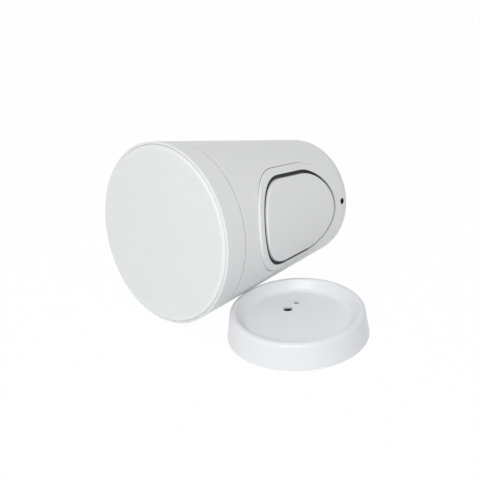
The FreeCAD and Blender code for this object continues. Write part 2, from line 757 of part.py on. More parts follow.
def tweeter_magnet():
    """Magnet block at the back of the tweeter's cup."""
    back = TWEETER_BACK - TWEETER_WALL
    return rod(TWEETER_R - TWEETER_WALL - 2 * CLEAR, back - TWEETER_MAGNET_T, back)


def terminal_cover():
    """Crowned door with a skirt and two clips."""
    panel = rounded_top(door_prism(DOOR_GAP, -DEEP, DEEP).common(crown(DOOR_PROUD)), DOOR_ROUND)
    under = door_prism(DOOR_GAP + SKIRT_T, -2 * DEEP, DEEP).common(crown(DOOR_PROUD - DOOR_T))
    shell = panel.cut(under).cut(crown(-LEDGE_DEPTH + CLEAR))
    face = side_v(CLIP_U + CLIP_W / 2, TRAY_MARGIN + CLEAR + TRAY_WALL + CLEAR)
    low = -LEDGE_DEPTH - CLIP_L
    high = crown_n(CLIP_U, face, DOOR_PROUD - DOOR_T / 2)
    clips = [block(CLIP_U - CLIP_W / 2, CLIP_U + CLIP_W / 2, face - CLIP_T, face, low, high)]
    clips.append(clips[0].mirror(Vector(0, 0, 0), Vector(0, 1, 0)))
    return shell.multiFuse(clips)


def door_seal():
    """Black rubber band that fills the gap round the cover."""
    ring = door_prism(FIT, -DEEP, DEEP).cut(door_prism(DOOR_GAP - CLEAR, -2 * DEEP, DEEP))
    return ring.common(crown(-SEAL_DROP)).cut(crown(FIT - LEDGE_DEPTH))


def tray_screw_places():
    """Places of the tray's screws on its flange."""
    inset = TRAY_MARGIN - TRAY_FLANGE / 2
    return [(u, side * side_v(u, inset)) for u in TRAY_SCREW_U for side in (-1, 1)]


def tray_screw_seat(u, v):
    """Height of the flat seat under a tray screw's head."""
    return crown_n(u, abs(v) - TRAY_HEAD_R, FIT - LEDGE_DEPTH + TRAY_FLANGE_T)


def board_posts():
    """Places of the crossover board's standoffs."""
    u = BOARD_L / 2 - STANDOFF_INSET
    v = BOARD_W / 2 - 2 * STANDOFF_R
    return [(BOARD_U + a * u, BOARD_V + b * v) for a in (-1, 1) for b in (-1, 1)]


def terminal_tray():
    """Deep cup let into the shell under the cover, with standoffs on its back."""
    top = crown(FIT - LEDGE_DEPTH + TRAY_FLANGE_T)
    ledge = crown(FIT - LEDGE_DEPTH)
    flange = tray_prism(-TRAY_FLANGE, -DEEP, DEEP).common(top).cut(ledge)
    cup = tray_prism(CLEAR, TRAY_BACK_N, DEEP).common(top)
    places = tray_screw_places()
    seats = [rod(TRAY_HEAD_R + FIT, -DEEP, tray_screw_seat(u, v), u, v).cut(ledge) for u, v in places]
    cup = cup.multiFuse([flange] + seats).cut(tray_prism(CLEAR + TRAY_WALL, TRAY_FLOOR_N, DEEP))
    posts = [rod(STANDOFF_R, BOARD_N, TRAY_BACK_N, u, v) for u, v in board_posts()]
    cuts = [rod(TRAY_SCREW_R + FIT, -DEEP, 0, u, v) for u, v in places]
    cuts.append(rod(SPINDLE_R + SPINDLE_GAP, TRAY_BACK_N, TRAY_FLOOR_N, TAP_U, TAP_V))
    entry = rod(CONDUIT_R + FIT, conduit_end(), REAR_INNER, LEAD_X)
    cuts.append(moved(entry, DOOR.inverse()))
    return cup.multiFuse(posts).cut(group(cuts))


def conduit_end():
    """Distance of the conduit's inner end behind the front edge, just inside the tray's rear wall."""
    lean = math.radians(DOOR_TILT)
    rear = TRAY_REAR - CLEAR
    drop = (LEAD_X - outer_r(DOOR_MID_Z) - PAD_RISE + rear * math.sin(lean)) / math.cos(lean)
    return DOOR_MID_Z + rear * math.cos(lean) + drop * math.sin(lean) - TRAY_WALL - CONDUIT_REACH


def tray_screws():
    """Small screws that hold the tray's flange to the ledge."""
    screws = []
    for u, v in tray_screw_places():
        seat = tray_screw_seat(u, v)
        shank = rod(TRAY_SCREW_R, seat - TRAY_SCREW_L, seat, u, v)
        screws.append(shank.fuse(rod(TRAY_HEAD_R, seat, seat + TRAY_HEAD_H, u, v)))
    return group(screws)


def terminal_header():
    """Fixed half of the terminal block: a shroud open to the rear with a row of pins."""
    half = POLES * PITCH / 2 + HEADER_WALL + CLEAR
    n0, n1 = TRAY_FLOOR_N, TRAY_FLOOR_N + HEADER_H
    body = block(HEADER_U, HEADER_U + HEADER_L, PLUG_V - half, PLUG_V + half, n0, n1)
    mouth = block(
        HEADER_U + HEADER_L - PLUG_NOSE - CLEAR, HEADER_U + HEADER_L, PLUG_V - half + HEADER_WALL,
        PLUG_V + half - HEADER_WALL, n0 + HEADER_WALL, n1 - HEADER_WALL)
    pins = [lying_rod(PIN_R, p.x - PLUG_NOSE - 2 * CLEAR, p.x - CLEAR, p) for p in poles()]
    return body.cut(mouth).multiFuse(pins)


def lying_rod(radius, x0, x1, point):
    """Cylinder along X through a point, between two places."""
    return Part.makeCylinder(radius, x1 - x0, Vector(x0, point.y, point.z), Vector(1, 0, 0))


def poles():
    """Points where the plug's poles cross the header's mouth."""
    first = PLUG_V - (POLES - 1) * PITCH / 2
    middle = TRAY_FLOOR_N + HEADER_H / 2
    return [Vector(HEADER_U + HEADER_L, first + PITCH * k, middle) for k in range(POLES)]


def terminal_plug():
    """Plug-in half that clamps the wires: a nose in the header and wire holes at its rear."""
    half = POLES * PITCH / 2
    u = HEADER_U + HEADER_L
    n = TRAY_FLOOR_N + HEADER_H / 2
    nose_h = HEADER_H / 2 - HEADER_WALL - CLEAR
    nose = block(u - PLUG_NOSE, u + CLEAR, PLUG_V - half, PLUG_V + half, n - nose_h, n + nose_h)
    body = block(u + CLEAR, u + PLUG_L, PLUG_V - half, PLUG_V + half, n - PLUG_H / 2, n + PLUG_H / 2)
    top = n + PLUG_H / 2
    cuts = []
    for p in poles():
        cuts.append(lying_rod(PIN_R + CLEAR, u - PLUG_NOSE, u + CLEAR, p))
        cuts.append(lying_rod(PITCH / 3, u + PLUG_L / 2, u + PLUG_L, p))
        cuts.append(rod(PLUG_SCREW_R + FIT, top - PLUG_SCREW_H - CLEAR, top, u + PLUG_L / 3, p.y))
    return nose.fuse(body).cut(group(cuts))


def plug_screws():
    """Clamp screws sunk in the top of the plug."""
    n = TRAY_FLOOR_N + HEADER_H / 2 + PLUG_H / 2 - CLEAR
    u = HEADER_U + HEADER_L + PLUG_L / 3
    return group([rod(PLUG_SCREW_R, n - PLUG_SCREW_H, n, u, p.y) for p in poles()])


def tap_switch():
    """Rotary switch under the tray's floor."""
    half = TAP_BODY / 2
    low = TRAY_BACK_N - TAP_BODY_H
    body = block(TAP_U - half, TAP_U + half, TAP_V - half, TAP_V + half, low, TRAY_BACK_N)
    return body.cut(rod(SPINDLE_R + SPINDLE_GAP, TRAY_BACK_N - TAP_BODY_H / 2, TRAY_BACK_N, TAP_U, TAP_V))


def tap_spindle():
    """Steel spindle of the tap switch."""
    low = TRAY_BACK_N - TAP_BODY_H / 2 + CLEAR
    return rod(SPINDLE_R, low, TRAY_FLOOR_N + KNOB_H / 2, TAP_U, TAP_V)


def tap_knob():
    """Knob with a raised pointer bar across its top."""
    n = TRAY_FLOOR_N + KNOB_LIFT
    body = rod(KNOB_R, n, n + KNOB_H / 2, TAP_U, TAP_V)
    bar = block(TAP_U - KNOB_R, TAP_U + KNOB_R, TAP_V - POINTER_T / 2, TAP_V + POINTER_T / 2, n, n + KNOB_H)
    knob = body.fuse(bar.common(rod(KNOB_R, n, n + KNOB_H, TAP_U, TAP_V)))
    return knob.cut(rod(SPINDLE_R + FIT, n, TRAY_FLOOR_N + KNOB_H / 2, TAP_U, TAP_V))


def crossover_board():
    """Printed board on the tray's standoffs."""
    u = BOARD_L / 2
    v = BOARD_W / 2
    return block(BOARD_U - u, BOARD_U + u, BOARD_V - v, BOARD_V + v, BOARD_N - BOARD_T, BOARD_N)


def board_screws():
    """Screws that hold the board to its standoffs, seen as their heads."""
    face = BOARD_N - BOARD_T
    return group([rod(STANDOFF_R - CLEAR, face - TRAY_HEAD_H, face, u, v) for u, v in board_posts()])


def crossover_coils():
    """Two wound inductors standing on the board."""
    face = BOARD_N - BOARD_T
    first = COIL_INSET - BOARD_L / 2
    second = (first + COIL_R + BOARD_L / 2 - CAP_INSET - CAP_R) / 2
    coils = []
    for along, radius in ((first, COIL_R), (second, SMALL_COIL_R)):
        coil = tube(radius, COIL_BORE, face - COIL_H, face)
        coils.append(moved(coil, Placement(Vector(BOARD_U + along, BOARD_V, 0), Rotation())))
    return group(coils)


def crossover_capacitor():
    """Capacitor lying across the board's rear end."""
    along = BOARD_U + BOARD_L / 2 - CAP_INSET
    start = Vector(along, BOARD_V - CAP_L / 2, BOARD_N - BOARD_T - CAP_R)
    return Part.makeCylinder(CAP_R, CAP_L, start, Vector(0, 1, 0))


def transformer_core():
    """Stack of laminations with a window on each side of the middle leg."""
    high = STRAP_N
    low = STRAP_N - CORE_H
    core = block(-CORE_L / 2, CORE_L / 2, -CORE_W / 2, CORE_W / 2, low, high)
    cuts = []
    for side in (-1, 1):
        u0, u1 = sorted((side * CORE_LEG / 2, side * (CORE_L / 2 - CORE_YOKE)))
        cuts.append(block(u0, u1, -CORE_W / 2, CORE_W / 2, low + CORE_YOKE, high - CORE_YOKE))
    return core.cut(group(cuts))


def transformer_coil():
    """Winding round the middle leg, bulging out of both faces of the stack."""
    half_u = CORE_L / 2 - CORE_YOKE - CLEAR
    half_v = CORE_W / 2 + COIL_OVERHANG
    low = STRAP_N - CORE_H + CORE_YOKE + CLEAR
    high = STRAP_N - CORE_YOKE - CLEAR
    coil = block(-half_u, half_u, -half_v, half_v, low, high)
    upright = [e for e in coil.Edges if abs(e.BoundBox.ZLength - high + low) < FIT]
    coil = coil.makeFillet(COIL_ROUND, upright)
    hole = CORE_LEG / 2 + FIT
    return coil.cut(block(-hole, hole, -CORE_W / 2 - FIT, CORE_W / 2 + FIT, low, high))


def strap_foot(side):
    """Place of a strap foot's screw along the wall."""
    return side * (CORE_L / 2 + FIT + STRAP_T + FOOT_L / 2)


def transformer_strap():
    """Bent steel strap over the stack with a foot at each end."""
    half = CORE_W / 4
    leg = CORE_L / 2 + FIT
    foot = leg + STRAP_T + FOOT_L
    low = STRAP_N - CORE_H - FIT
    strap = block(-leg - STRAP_T, leg + STRAP_T, -half, half, low - STRAP_T, STRAP_N)
    strap = strap.cut(block(-leg, leg, -half, half, low, STRAP_N))
    feet = [block(leg, foot, -half, half, STRAP_N - STRAP_T, STRAP_N)]
    feet.append(feet[0].mirror(Vector(0, 0, 0), Vector(1, 0, 0)))
    holes = [rod(SCREW_R + FIT, STRAP_N - STRAP_T, STRAP_N, strap_foot(side)) for side in (-1, 1)]
    return strap.multiFuse(feet).cut(group(holes))


def transformer_screws():
    """Screws of the strap's feet."""
    screws = []
    for side in (-1, 1):
        screw = pan_screw(SCREW_R, STRAP_SCREW_L, HEAD_R, HEAD_H)
        screws.append(moved(screw, Placement(Vector(strap_foot(side), 0, STRAP_N - STRAP_T), Rotation())))
    return group(screws)


def hang_plate():
    """Steel plate inside the rear that carries the weight."""
    low = HANG_PLATE_Z - HANG_PLATE_T
    plate = tube(HANG_PLATE_R, HANG_R + FIT, low, HANG_PLATE_Z)
    cuts = on_ring(rod(SCREW_R + FIT, low, HANG_PLATE_Z), HANG_SCREW_RING_R, HANG_SCREWS, HANG_SCREW_START)
    cuts.append(rod(CONDUIT_FLANGE_R, low, HANG_PLATE_Z, LEAD_X))
    return plate.cut(group(cuts))


def hang_insert():
    """Threaded bush through the plate and the rear wall; its thread is left plain."""
    seat = HANG_PLATE_Z - HANG_PLATE_T
    back = seat - HANG_FLANGE_T
    low = back - HANG_TAIL
    mouth = BODY_L - HANG_RECESS
    return turned([
        (HANG_HOLE_R, low), (HANG_R, low), (HANG_R, back), (HANG_FLANGE_R, back), (HANG_FLANGE_R, seat),
        (HANG_R, seat), (HANG_R, mouth), (HANG_HOLE_R, mouth)])


def hang_screws():
    """Screws that hold the plate to the rear wall's bosses."""
    screw = lifted(pan_screw(SCREW_R, HANG_SCREW_L, HEAD_R, HEAD_H), HANG_PLATE_Z - HANG_PLATE_T)
    return group(on_ring(screw, HANG_SCREW_RING_R, HANG_SCREWS, HANG_SCREW_START))


def safety_insert():
    """Threaded insert at the bottom of the small side hole; its thread is left plain."""
    return tube(SAFETY_R, SAFETY_HOLE_R, -SAFETY_SUNK - SAFETY_L, -SAFETY_SUNK)


def lead_conduit():
    """Tube that takes the ceiling lead from the rear face to the tray."""
    low = conduit_end()
    neck = REAR_INNER - CONDUIT_FLANGE_T
    return turned([
        (LEAD_R, low), (CONDUIT_R, low), (CONDUIT_R, neck), (CONDUIT_FLANGE_R, neck),
        (CONDUIT_FLANGE_R, REAR_INNER), (LEAD_R, REAR_INNER)])


def lead_bush():
    """Rubber bush in the rear face round the lead."""
    return turned([
        (LEAD_R, REAR_INNER), (CONDUIT_R, REAR_INNER), (CONDUIT_R, BODY_L), (BUSH_R, BODY_L),
        (BUSH_R - BUSH_T / 2, BODY_L + BUSH_T), (LEAD_R, BODY_L + BUSH_T)])


def wadding():
    """Two felt pads on the inner wall, clear of the cover and the transformer."""
    skin = WALL + CLEAR
    face = WALL + LINING_T
    path = [
        (wall_r(LINING_FRONT, skin), LINING_FRONT), (wall_r(LINING_REAR, skin), LINING_REAR),
        (wall_r(LINING_REAR, face), LINING_REAR), (wall_r(LINING_FRONT, face), LINING_FRONT)]
    return group([turned(path, LINING_SWEEP, start) for start in LINING_STARTS])


def canopy():
    """Round ceiling cup with a dished face, hollow underneath, holed for the lead and for the wire."""
    half = math.sqrt(0.5)
    rim = CANOPY_TOP_R - CANOPY_ROUND
    shoulder = CANOPY_H - CANOPY_ROUND
    bend = CANOPY_ROUND - CANOPY_WALL
    floor = CANOPY_H - DISH_DEPTH
    under = floor - CANOPY_WALL
    brow = rim - RIM_FLAT
    inner_brow = brow + CANOPY_WALL * half
    foot = DISH_R + CANOPY_WALL * half
    slope = brow - BROW_ROUND
    low = CANOPY_H - BROW_ROUND
    wall = Vector(slope - DISH_R, low - floor, 0).normalize()
    bend_angle = math.atan2(wall.y, wall.x)
    setback = DISH_FILLET * math.tan(bend_angle / 2)
    flat_end = DISH_R - setback
    sag = DISH_FILLET / math.cos(bend_angle / 2) - DISH_FILLET
    mid_r = DISH_R - sag * math.sin(bend_angle / 2)
    mid_z = floor + sag * math.cos(bend_angle / 2)
    body = turned([
        (0, floor + DISH_CROWN),
        (flat_end / 2, floor + dome_z(flat_end, DISH_CROWN, flat_end / 2), flat_end, floor),
        (mid_r, mid_z, DISH_R + setback * wall.x, floor + setback * wall.y), (slope, low),
        (slope + BROW_ROUND * BROW_BEND, low + BROW_ROUND * half, brow, CANOPY_H),
        (rim, CANOPY_H), (rim + CANOPY_ROUND * half, shoulder + CANOPY_ROUND * half, CANOPY_TOP_R, shoulder),
        (CANOPY_R, 0), (CANOPY_R - CANOPY_WALL, 0), (CANOPY_TOP_R - CANOPY_WALL, shoulder),
        (rim + bend * half, shoulder + bend * half, rim, shoulder + bend), (inner_brow, shoulder + bend),
        (foot, under), (foot / 2, under + dome_z(foot, DISH_CROWN, foot / 2), 0, under + DISH_CROWN)])
    holes = [rod(LEAD_HOLE_R, 0, CANOPY_H, *LEAD_HOLE_AT), rod(WIRE_HOLE_R, 0, CANOPY_H, *WIRE_HOLE_AT)]
    return body.cut(group(holes))


# How the housing lies on the floor along one line of its side, and where the canopy stands beside it
AXIS = Vector(math.cos(LEAN), 0, -math.sin(LEAN))
RISE = Vector(math.sin(LEAN), 0, math.cos(LEAN))
SIDE = Vector(0, -1, 0)
OUT = SIDE * math.cos(math.radians(DOOR_TURN)) + RISE * math.sin(math.radians(DOOR_TURN))
touch = CANOPY_H - CANOPY_ROUND / 2
beside = outer_r(CANOPY_ALONG) / math.cos(LEAN)
touch_r = CANOPY_TOP_R - CANOPY_ROUND * (1 - math.sqrt(0.75))
canopy_y = -math.sqrt(2 * beside * touch - touch ** 2) - touch_r - CANOPY_GAP
flat_r = GRILLE_R - GRILLE_ROUND
front_x = math.cos(LEAN) * (GRILLE_ROUND - GRILLE_PROUD) - math.sin(LEAN) * flat_r - GRILLE_ROUND
bend_z = BODY_L - REAR_FILLET
rear_x = math.cos(LEAN) * bend_z + math.sin(LEAN) * wall_r(bend_z, REAR_FILLET) + REAR_FILLET
MIDDLE = Vector((front_x + rear_x) / 2, (canopy_y - CANOPY_R + outer_r(LIP_ROUND)) / 2, 0)
LYING = facing(Vector(0, 0, FRONT_R * math.cos(LEAN)) - MIDDLE, OUT, AXIS)
STANDING = Placement(Vector(CANOPY_ALONG, canopy_y, 0) - MIDDLE, Rotation())
AT_LEAD = Placement(Vector(LEAD_X, 0, 0), Rotation())

NODES = {
    "rear_shell": (rear_shell, LYING),
    "front_baffle": (front_baffle, LYING),
    "baffle_gasket": (baffle_gasket, LYING),
    "baffle_screws": (baffle_screws, LYING),
    "grille": (grille, LYING),
    "grille_scrim": (grille_scrim, LYING),
    "grille_magnets": (grille_magnets, LYING),
    "port_tubes": (port_tubes, LYING),
    "woofer_frame": (woofer_frame, LYING),
    "woofer_gasket": (woofer_gasket, LYING),
    "woofer_screws": (woofer_screws, LYING),
    "woofer_cone": (woofer_cone, LYING),
    "woofer_surround": (woofer_surround, LYING),
    "spider": (spider, LYING),
    "voice_coil": (voice_coil, LYING),
    "woofer_top_plate": (lambda: tube(TOP_PLATE_R, TOP_PLATE_BORE, BASKET_BACK, MAG_Z), LYING),
    "woofer_magnet": (lambda: tube(MAG_R, MAG_BORE, MAG_Z, YOKE_Z), LYING),
    "woofer_yoke": (woofer_yoke, LYING),
    "tweeter_post": (tweeter_post, LYING),
    "tweeter_housing": (tweeter_housing, LYING),
    "tweeter_dome": (tweeter_dome, LYING),
    "tweeter_magnet": (tweeter_magnet, LYING),
    "terminal_cover": (terminal_cover, LYING * DOOR),
    "door_seal": (door_seal, LYING * DOOR),
    "terminal_tray": (terminal_tray, LYING * DOOR),
    "tray_screws": (tray_screws, LYING * DOOR),
    "terminal_header": (terminal_header, LYING * DOOR),
    "terminal_plug": (terminal_plug, LYING * DOOR),
    "plug_screws": (plug_screws, LYING * DOOR),
    "tap_switch": (tap_switch, LYING * DOOR),
    "tap_spindle": (tap_spindle, LYING * DOOR),
    "tap_knob": (tap_knob, LYING * DOOR),
    "crossover_board": (crossover_board, LYING * DOOR),
    "board_screws": (board_screws, LYING * DOOR),
    "crossover_coils": (crossover_coils, LYING * DOOR),
    "crossover_capacitor": (crossover_capacitor, LYING * DOOR),
    "transformer_core": (transformer_core, LYING * CORE),
    "transformer_coil": (transformer_coil, LYING * CORE),
    "transformer_strap": (transformer_strap, LYING * CORE),
    "transformer_screws": (transformer_screws, LYING * CORE),
    "hang_plate": (hang_plate, LYING),
    "hang_insert": (hang_insert, LYING),
    "hang_screws": (hang_screws, LYING),
    "safety_insert": (safety_insert, LYING * SAFETY),
    "lead_conduit": (lead_conduit, LYING * AT_LEAD),
    "lead_bush": (lead_bush, LYING * AT_LEAD),
    "wadding": (wadding, LYING),
    "canopy": (canopy, STANDING),
}

os.makedirs("parts", exist_ok=True)
for name, (make, place) in NODES.items():
    shape = moved(make(), place)
    shape.exportStep("parts/" + name + ".step")
    print(name, len(shape.Solids), round(shape.Volume / 1000, 2), "cm3", shape.isValid())
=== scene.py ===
# %% [markdown]
# A white pendant speaker lying on its side, with its ceiling canopy beside it.
# The solid pieces come from the CAD model and are never moved. This lesson gives them their finishes, and models
# what is too fine for the solids: the punched grille, the screws, the threads, the woofer's soft rings, and dark
# hairlines of painted shade in the seam, the side hole and beside the pad.

# %% Load the CAD model as the frame
import json
import math
import bmesh
import bpy
from mathutils import Matrix, Vector


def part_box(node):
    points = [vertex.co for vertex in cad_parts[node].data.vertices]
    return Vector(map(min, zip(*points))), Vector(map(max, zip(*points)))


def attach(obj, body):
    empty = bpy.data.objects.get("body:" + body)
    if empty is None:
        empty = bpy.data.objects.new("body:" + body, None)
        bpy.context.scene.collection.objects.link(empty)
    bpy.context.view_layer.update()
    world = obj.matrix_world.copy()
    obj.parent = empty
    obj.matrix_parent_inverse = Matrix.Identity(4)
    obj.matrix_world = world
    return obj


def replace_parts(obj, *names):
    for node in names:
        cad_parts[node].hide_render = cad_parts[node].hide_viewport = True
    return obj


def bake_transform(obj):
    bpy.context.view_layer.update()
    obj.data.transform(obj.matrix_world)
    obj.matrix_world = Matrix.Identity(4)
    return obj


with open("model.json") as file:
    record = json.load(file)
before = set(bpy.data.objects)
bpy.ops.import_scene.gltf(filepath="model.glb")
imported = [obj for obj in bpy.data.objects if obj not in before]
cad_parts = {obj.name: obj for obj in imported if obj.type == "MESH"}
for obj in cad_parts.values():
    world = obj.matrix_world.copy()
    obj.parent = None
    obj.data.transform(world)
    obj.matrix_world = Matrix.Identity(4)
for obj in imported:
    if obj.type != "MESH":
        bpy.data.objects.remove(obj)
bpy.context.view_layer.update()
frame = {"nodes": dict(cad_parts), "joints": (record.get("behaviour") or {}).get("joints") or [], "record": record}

MM = 0.001
nodes = frame["nodes"]
record = frame["record"]

# %% [markdown]
# The speaker has a frame of its own: Z runs from the front edge to the rear and X
# points at the terminal cover. The cover has one too, with Z out of its face. Their
# directions can be read from the joints in the record, so a new piece is drawn
# upright in one of these frames and carried over in one move.

# %% The speaker's own frame
joint_axis = {j["name"]: Vector(j["axis"]).normalized() for j in frame["joints"]}
mount_at = {m["name"]: Vector(m["pos_m"]) for m in record["mounts"]}
HANG_MIDDLE = 186.25 * MM
COVER_MIDDLE = Vector((66.066, 0, 108.2)) * MM

to_rear = -joint_axis["grille_pull"]
out_of_cover = joint_axis["cover_pull"]
to_cover = (out_of_cover - to_rear * out_of_cover.dot(to_rear)).normalized()
front_middle = mount_at["hang_point"] - to_rear * HANG_MIDDLE


def frame_matrix(origin, x_dir, z_dir):
    """Matrix that carries a shape drawn at the origin to a place and two directions."""
    y_dir = z_dir.cross(x_dir)
    return Matrix.Translation(origin) @ Matrix((x_dir, y_dir, z_dir)).transposed().to_4x4()


SPEAKER = frame_matrix(front_middle, to_cover, to_rear)
COVER = frame_matrix(SPEAKER @ COVER_MIDDLE, joint_axis["plug_pull"], out_of_cover)
print("front middle in mm:", [round(c / MM, 2) for c in front_middle])

# %% [markdown]
# The camera stands where the photograph was taken from: far away with a long lens,
# looking down by about 28 degrees, and turned a little about its own line of sight.

# %% Camera
CAMERA_AT = Vector((-0.89368, -0.93889, 0.7343))
CAMERA_AIM = Vector((0.04882, 0.10161, 0.0))
CAMERA_ROLL = -0.06
LENS_MM = 120.0
SENSOR_MM = 36.0
CLIP_NEAR = 0.05
CLIP_FAR = 60.0

camera = bpy.data.objects.new("camera", bpy.data.cameras.new("camera"))
bpy.context.scene.collection.objects.link(camera)
bpy.context.scene.camera = camera
camera.data.lens = LENS_MM
camera.data.sensor_width = SENSOR_MM
camera.data.clip_start = CLIP_NEAR
camera.data.clip_end = CLIP_FAR
forward = (CAMERA_AIM - CAMERA_AT).normalized()
level = forward.cross(Vector((0, 0, 1))).normalized()
upward = level.cross(forward)
right = level * math.cos(CAMERA_ROLL) + upward * math.sin(CAMERA_ROLL)
camera.matrix_world = frame_matrix(CAMERA_AT, right, -forward)
print("camera distance in m:", round((CAMERA_AIM - CAMERA_AT).length, 3))

# %% [markdown]
# The light is that of a bright white studio: an even glow from all round, one broad
# soft lamp from the left front and a weaker one overhead, which lifts what faces up,
# such as the canopy's dish. The lamps come first. Small lamps would throw hard shadows
# that the photo doesn't have, so both are wide discs.

# %% Lamps
KEY_FROM = Vector((-0.68, -0.44, 0.59)).normalized()
KEY_WATTS = 14.2
TOP_FROM = Vector((-0.06, 0.1, 1.0)).normalized()
TOP_WATTS = 2.8
LAMP_AWAY = 1.8
LAMP_WIDTH = 1.1

bpy.context.scene.view_settings.view_transform = "Standard"


def soft_lamp(name, direction, watts):
    """Round area lamp that looks at the middle of the scene."""
    lamp = bpy.data.lights.new(name, "AREA")
    lamp.shape = "DISK"
    lamp.size = LAMP_WIDTH
    lamp.energy = watts
    holder = bpy.data.objects.new(name, lamp)
    bpy.context.scene.collection.objects.link(holder)
    holder.location = direction * LAMP_AWAY
    holder.rotation_mode = "QUATERNION"
    holder.rotation_quaternion = (-direction).to_track_quat("-Z", "Y")
    return lamp


key = soft_lamp("key", KEY_FROM, KEY_WATTS)
top = soft_lamp("top", TOP_FROM, TOP_WATTS)
print("lamp watts:", key.energy, top.energy)

# %% [markdown]
# The glow is the world's background. Where it is plainly seen it is full white, and
# where it only lights the pieces it is weaker, so the backdrop stays white and the
# white speaker still has shades. A mask tells the two kinds of rays apart. The helpers
# that add and set shader nodes are used again for every later material.

# %% Glow
AMBIENT = 0.49
WHITE = (1, 1, 1, 1)


def put(tree, kind, links=(), **values):
    """New node; links are (input, source socket) pairs and values are plain settings."""
    node = tree.nodes.new(kind)
    for label, value in values.items():
        setattr(node, label, value)
    for target, source in links:
        tree.links.new(source, node.inputs[target])
    return node


def fixed(node, **values):
    """Sets unlinked inputs of a node by name, with spaces written as underscores."""
    for label, value in values.items():
        node.inputs[label.replace("_", " ")].default_value = value
    return node


def plainly_seen(tree):
    """Mask of the rays that come from the camera, off gloss or through glass."""
    ray = put(tree, "ShaderNodeLightPath")
    direct = [(0, ray.outputs["Is Camera Ray"]), (1, ray.outputs["Is Glossy Ray"])]
    first = put(tree, "ShaderNodeMath", direct, operation="MAXIMUM")
    through = [(0, first.outputs[0]), (1, ray.outputs["Is Transmission Ray"])]
    return put(tree, "ShaderNodeMath", through, operation="MAXIMUM").outputs[0]


world = bpy.data.worlds.new("studio")
bpy.context.scene.world = world
world.use_nodes = True
sky = world.node_tree
sky.nodes.clear()
glow = fixed(put(sky, "ShaderNodeBackground"), Color=WHITE, Strength=AMBIENT)
backdrop = fixed(put(sky, "ShaderNodeBackground"), Color=WHITE, Strength=1.0)
either = [(0, plainly_seen(sky)), (1, glow.outputs[0]), (2, backdrop.outputs[0])]
choice = put(sky, "ShaderNodeMixShader", either)
put(sky, "ShaderNodeOutputWorld", [(0, choice.outputs[0])])
print("ambient:", AMBIENT, "sky nodes:", len(sky.nodes))

# %% [markdown]
# The floor is one large flat sheet. It lies a hair below the pieces that rest on it, so
# that no two faces lie in the same plane.

# %% Floor
FLOOR_HALF = 6.0
FLOOR_DROP = 0.2 * MM

floor_mesh = bpy.data.meshes.new("floor")
sheet = bmesh.new()
bmesh.ops.create_grid(sheet, x_segments=1, y_segments=1, size=FLOOR_HALF)
sheet.to_mesh(floor_mesh)
sheet.free()
floor = bpy.data.objects.new("floor", floor_mesh)
bpy.context.scene.collection.objects.link(floor)
floor.location = (0, 0, -FLOOR_DROP)
print("floor width in m:", 2 * FLOOR_HALF)

# %% [markdown]
# The floor is white wherever it is seen, but it keeps a share of its own shading, so
# the speaker's shadow still lies on it and nothing floats. Under the canopy no studio
# light gets in, so there the sheet is left to its own shading, and the canopy's two
# holes look dark as they should.

# %% Finish of the floor
FLOOR_WHITE_SHARE = 0.98
FLOOR_TONE = (0.95, 0.95, 0.95, 1)
CANOPY_INSIDE = 60.5 * MM

low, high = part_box("canopy")
canopy_middle = Vector(((low[0] + high[0]) / 2, (low[1] + high[1]) / 2, 0))
floor_finish = bpy.data.materials.new("floor_white")
floor_finish.use_nodes = True
sheet_tree = floor_finish.node_tree
sheet_tree.nodes.clear()
matt = fixed(put(sheet_tree, "ShaderNodeBsdfDiffuse"), Color=FLOOR_TONE)
shine = fixed(put(sheet_tree, "ShaderNodeEmission"), Color=WHITE, Strength=1.0)
place = put(sheet_tree, "ShaderNodeTexCoord")
away = put(sheet_tree, "ShaderNodeVectorMath", [(0, place.outputs["Object"])], operation="DISTANCE")
away.inputs[1].default_value = canopy_middle
open_floor = put(sheet_tree, "ShaderNodeMath", [(0, away.outputs["Value"])], operation="GREATER_THAN")
open_floor.inputs[1].default_value = CANOPY_INSIDE
both = [(0, plainly_seen(sheet_tree)), (1, open_floor.outputs[0])]
seen = put(sheet_tree, "ShaderNodeMath", both, operation="MULTIPLY")
share = put(sheet_tree, "ShaderNodeMath", [(0, seen.outputs[0])], operation="MULTIPLY")
share.inputs[1].default_value = FLOOR_WHITE_SHARE
either = [(0, share.outputs[0]), (1, matt.outputs[0]), (2, shine.outputs[0])]
skin = put(sheet_tree, "ShaderNodeMixShader", either)
put(sheet_tree, "ShaderNodeOutputMaterial", [(0, skin.outputs[0])])
floor_mesh.materials.append(floor_finish)
print("canopy middle in mm:", [round(c / MM, 2) for c in canopy_middle])

# %% [markdown]
# Two effects come back in many finishes, so each is a node group made once. The
# first is surface grain: moulds, powder coat and paper all have a fine bumpy skin.
# The second is drift: no moulded or painted face is exactly one colour, it drifts
# slowly by a percent or two. Both read Object coordinates, in metres.

# %% Shared node groups
FLOAT = "NodeSocketFloat"
COLOR = "NodeSocketColor"


def new_group(name, inputs, outputs):
    """Empty shader group with named sockets, and its input and output nodes."""
    group = bpy.data.node_groups.new(name, "ShaderNodeTree")
    for label, kind, value in inputs:
        socket = group.interface.new_socket(label, in_out="INPUT", socket_type=kind)
        socket.default_value = value
    for label, kind in outputs:
        group.interface.new_socket(label, in_out="OUTPUT", socket_type=kind)
    return group, group.nodes.new("NodeGroupInput"), group.nodes.new("NodeGroupOutput")


